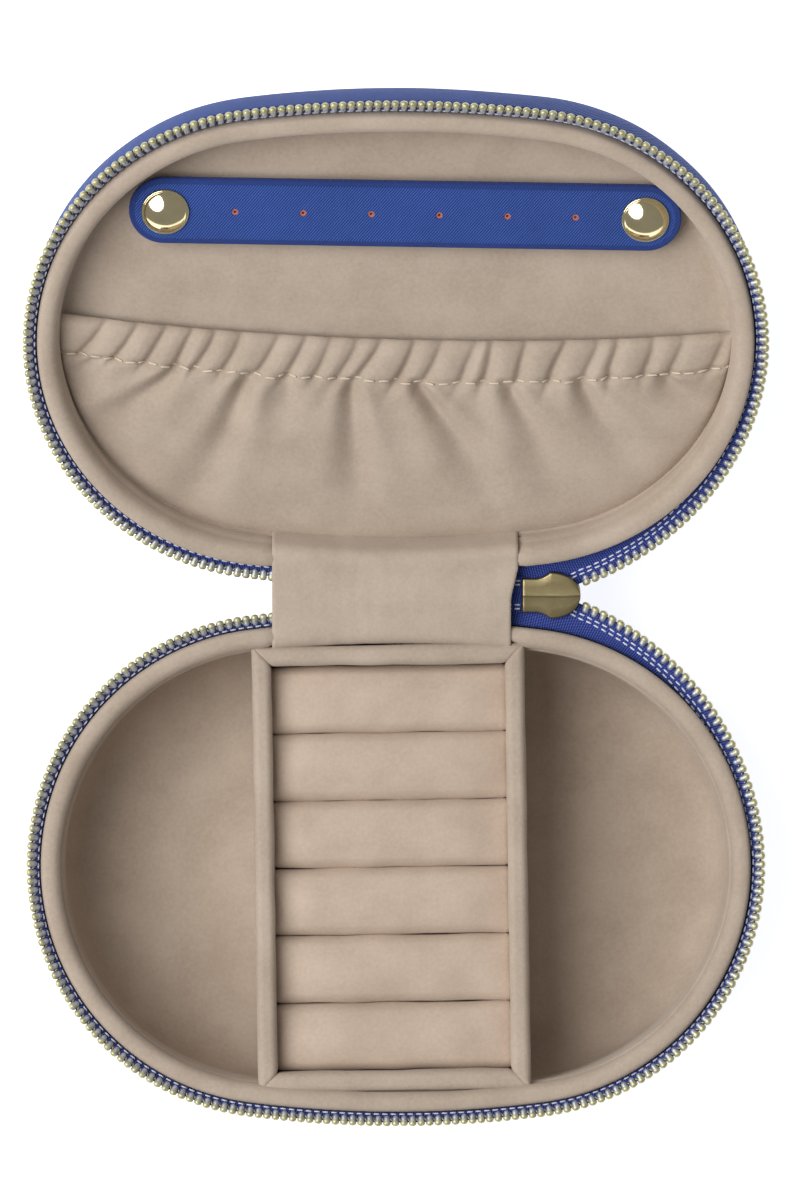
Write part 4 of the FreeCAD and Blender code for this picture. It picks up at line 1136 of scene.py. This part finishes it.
def pocket_surface(columns, rows):
    """The gathered sheet: a fan of lines from its open edge down to the rim lining."""
    share = np.linspace(0, 1, columns)[:, None]
    down = np.linspace(0, 1, rows)[None] ** 1.1
    top_x = -74.6 + 149.4 * share
    top = np.stack([top_x, pocket_edge(top_x)], -1)
    along = -AROUND / 4 - 3.0 + (AROUND / 2 + 5.0) * share[:, 0]
    foot = around_shell(along, np.full((columns, 1), -4.3), np.zeros((columns, 1)), -1)[..., :2]
    flat = top + (foot - top) * down[..., None]
    distance = np.linalg.norm(foot - top, axis=-1) * down
    x, above = flat[..., 0], HEM - distance
    gather = np.where(above > 0, 1.0 - 0.45 * above / HEM, np.exp(np.minimum(above, 0) / 1.8))
    height = np.zeros_like(x)
    nearest = np.full_like(x, 99.0)
    for place, lean, depth in zip(*ruffle_lines()):
        off = x - (place + lean * above + 0.25 * np.sin(above / 2.1 + place))
        height -= 1.3 * depth * np.exp(-(off / (0.95 + 0.4 * (off > 0))) ** 2)
        nearest = np.minimum(nearest, np.abs(off))
    height = gather * (height + 0.75 * (1 - np.exp(-(nearest / 2.2) ** 2)))
    for start, end, length, depth in FOLDS:
        travelled = np.clip(-above / length, -0.2, 1.3)
        centre = start + (end - start) * travelled + 0.8 * np.sin(travelled * 4.0 + start)
        width = 1.5 + 3.5 * np.clip(travelled, 0, 1)
        fade = np.clip((travelled + 0.06) / 0.14, 0, 1) * np.clip(1.25 - travelled, 0, 1) ** 0.8
        off = (x - centre) / width
        height -= depth * fade * (np.exp(-off ** 2) - 0.35 * np.exp(-((np.abs(off) - 2) / 1.1) ** 2))
    height -= 0.6 * np.exp(-(above / 0.8) ** 2)
    height += random_push(np.stack([x / 9.0, flat[..., 1] / 12.0, np.ones_like(x)], -1), 1.0, 0.3, 63)
    slope = -1.1 * down ** 2 - 2.2 * down ** 20
    settled = np.clip((1 - down) / 0.08, 0, 1)
    roll_over = -1.6 * np.exp(-distance / 0.7)
    up = POCKET_TOP + slope + roll_over + height * settled
    scallop = 0.35 * np.exp(-distance / 2.0) * (1 - np.exp(-(nearest / 1.6) ** 2))
    return np.stack([x, flat[..., 1] + scallop, up], -1), distance


def pocket():
    """The pocket's cloth and the stitches under its hem."""
    top, distance = pocket_surface(620, 84)
    under = top.copy()
    under[..., 2] -= 0.9
    under[:, 0, 1] -= 0.3
    points = np.concatenate([top, under[:, ::-1]], 1)
    piece = skin("pocket_cloth", to_world(LID, points), LINING, ring_across=True, capped=True)
    settle(piece, "lid", "lining_cloth", "lid_pocket")
    nearest = np.argmin(np.abs(distance - HEM), 1)
    seam = top[np.arange(len(top)), nearest] + np.array([0, 0, 0.25])
    row = stitches("pocket_stitches", to_world(LID, seam[10:-10]), 3.3, 2.3, 0.26, CREAM_THREAD)
    settle(row, "lid", "lining_cloth")


def elastic():
    """The elastic inside the hem, along the pocket's open edge."""
    x = np.linspace(-72.0, 72.0, 90)
    outline = np.array([(-7.6, -2.0), (-2.4, -2.0), (-2.0, -2.3), (-2.4, -2.6), (-7.6, -2.6),
                        (-8.0, -2.3)])
    y = pocket_edge(x)[:, None] + outline[:, 0]
    z = np.broadcast_to(POCKET_TOP + outline[:, 1], y.shape)
    points = np.stack([np.repeat(x[:, None], y.shape[1], 1), y, z], -1)
    piece = skin("hem_elastic", to_world(LID, points), ELASTIC, ring_across=True, capped=True)
    settle(piece, "lid", "elastic", "pocket_elastic")


# ---- earring strap ----

def earring_strap():
    """Twill strap with a turned edge, six earring holes and two domed snaps."""
    low, high = 8.0, 9.8
    half_length, half_width, edge = 60.5, 7.3, 1.1
    hole_places = [(index - 2.5) * 15.0 for index in range(6)]
    core = plate("strap_twill",
                 [capsule(half_length - edge + 0.1, half_width - edge + 0.1)]
                 + [circle(x, 0, 0.9) for x in hole_places],
                 low + 0.1, high, 0.18, BAR, STRAP_CLOTH)
    settle(core, "strap", "strap_cloth", "earring_strap")
    border = plate("strap_border", [capsule(half_length, half_width),
                                    capsule(half_length - edge, half_width - edge)],
                   low, high - 0.05, 0.4, BAR, STRAP_EDGE)
    settle(border, "strap", "strap_cloth")
    stiffener = plate("strap_stiffener", [capsule(half_length - 2, half_width - 2)]
                      + [circle(x, 0, 0.4) for x in hole_places],
                      low + 0.35, high - 0.25, 0.1, BAR, STIFFENER)
    settle(stiffener, "strap", "board")
    caps = []
    for x in (-52.9, 52.9):
        radius = np.linspace(0, 4.55, 14)
        dome = [(r, high + 2.5 - 0.081 * r ** 2) for r in radius]
        rim = [(4.7, high + 0.66), (4.8, high + 0.62), (4.95, high + 0.72), (5.15, high + 0.66),
               (5.3, high + 0.4), (5.3, high + 0.15), (5.1, high - 0.02), (0.0, high - 0.02)]
        caps.append(lathe(f"cap_{len(caps)}", dome + rim, BAR @ Matrix.Translation((x, 0, 0)),
                          POLISHED))
    settle(join("snap_cap_pair", caps), "strap", "snap_metal", "snap_caps")


# ---- CAD nodes that stay ----

def paint_nodes():
    """Materials for the CAD nodes whose own shape is shown."""
    finishes = {"zip_puller": SATIN, "snap_studs": SATIN, "snap_sockets": SATIN}
    for prefix in ("tray", "lid"):
        finishes[f"{prefix}_wall_board"] = BOARD
        finishes[f"{prefix}_floor_board"] = BOARD
    for node, finish in finishes.items():
        slots = frame["nodes"][node].data.materials
        slots.clear()
        slots.append(finish)


# ---- stage ----

KEY_WATTS = 33.8
AMBIENT = 0.27               # strength of the white world light


def stage():
    """Pale floor, even white light and a soft key light from above on the left."""
    reach, level = 4.0, -0.0002
    corners = [(x * reach, y * reach, level) for x, y in ((-1, -1), (1, -1), (1, 1), (-1, 1))]
    mesh = mesh_of("floor", corners, [(0, 1, 2, 3)])
    mesh.materials.append(backdrop_paper())
    place_object("floor", mesh)
    target = Vector((0, 0.06, 0.03))
    soft_light("key_light", target, Vector((-0.54, 0.0, 0.84)), 1.8, 1.65, KEY_WATTS)
    world = bpy.data.worlds.new("studio")
    world.use_nodes = True
    background = world.node_tree.nodes["Background"]
    background.inputs["Color"].default_value = (1.0, 1.0, 1.0, 1)
    background.inputs["Strength"].default_value = AMBIENT
    bpy.context.scene.world = world
    bpy.context.scene.view_settings.view_transform = "Standard"


def soft_light(name, target, direction, distance, size, watts):
    data = bpy.data.lights.new(name, "AREA")
    data.shape = "DISK"
    data.size = size
    data.energy = watts
    light = place_object(name, data)
    light.location = target + direction.normalized() * distance
    light.rotation_euler = direction.to_track_quat("Z", "Y").to_euler()


def camera():
    """Straight down over the photograph's frame, 267.9 mm tall at the tray's rim."""
    data = bpy.data.cameras.new("camera")
    distance, tall = 2300 * MM, 267.9 * MM
    data.sensor_width = 36.0
    data.lens = data.sensor_width * distance / tall
    data.clip_end = 20.0
    eye = place_object("camera", data)
    eye.location = (0.83 * MM, 59.45 * MM, TRAY_DEPTH * MM + distance)
    bpy.context.scene.camera = eye


for shell_name, shell_depth, hinge_side, shell_axes in (("tray", TRAY_DEPTH, 1, TRAY),
                                                        ("lid", LID_DEPTH, -1, LID)):
    rim_lining(shell_name, shell_depth, hinge_side, shell_axes)
    floor_lining(shell_name, hinge_side, shell_axes)
    cover(shell_name, shell_depth, hinge_side, shell_axes)
    outer_panel(shell_name, hinge_side, shell_axes)
    zip_halves(shell_name, shell_depth, hinge_side, shell_axes)
closed_end()
zip_slider()
hinge()
ring_box()
elastic()
pocket()
earring_strap()
paint_nodes()
stage()
camera()
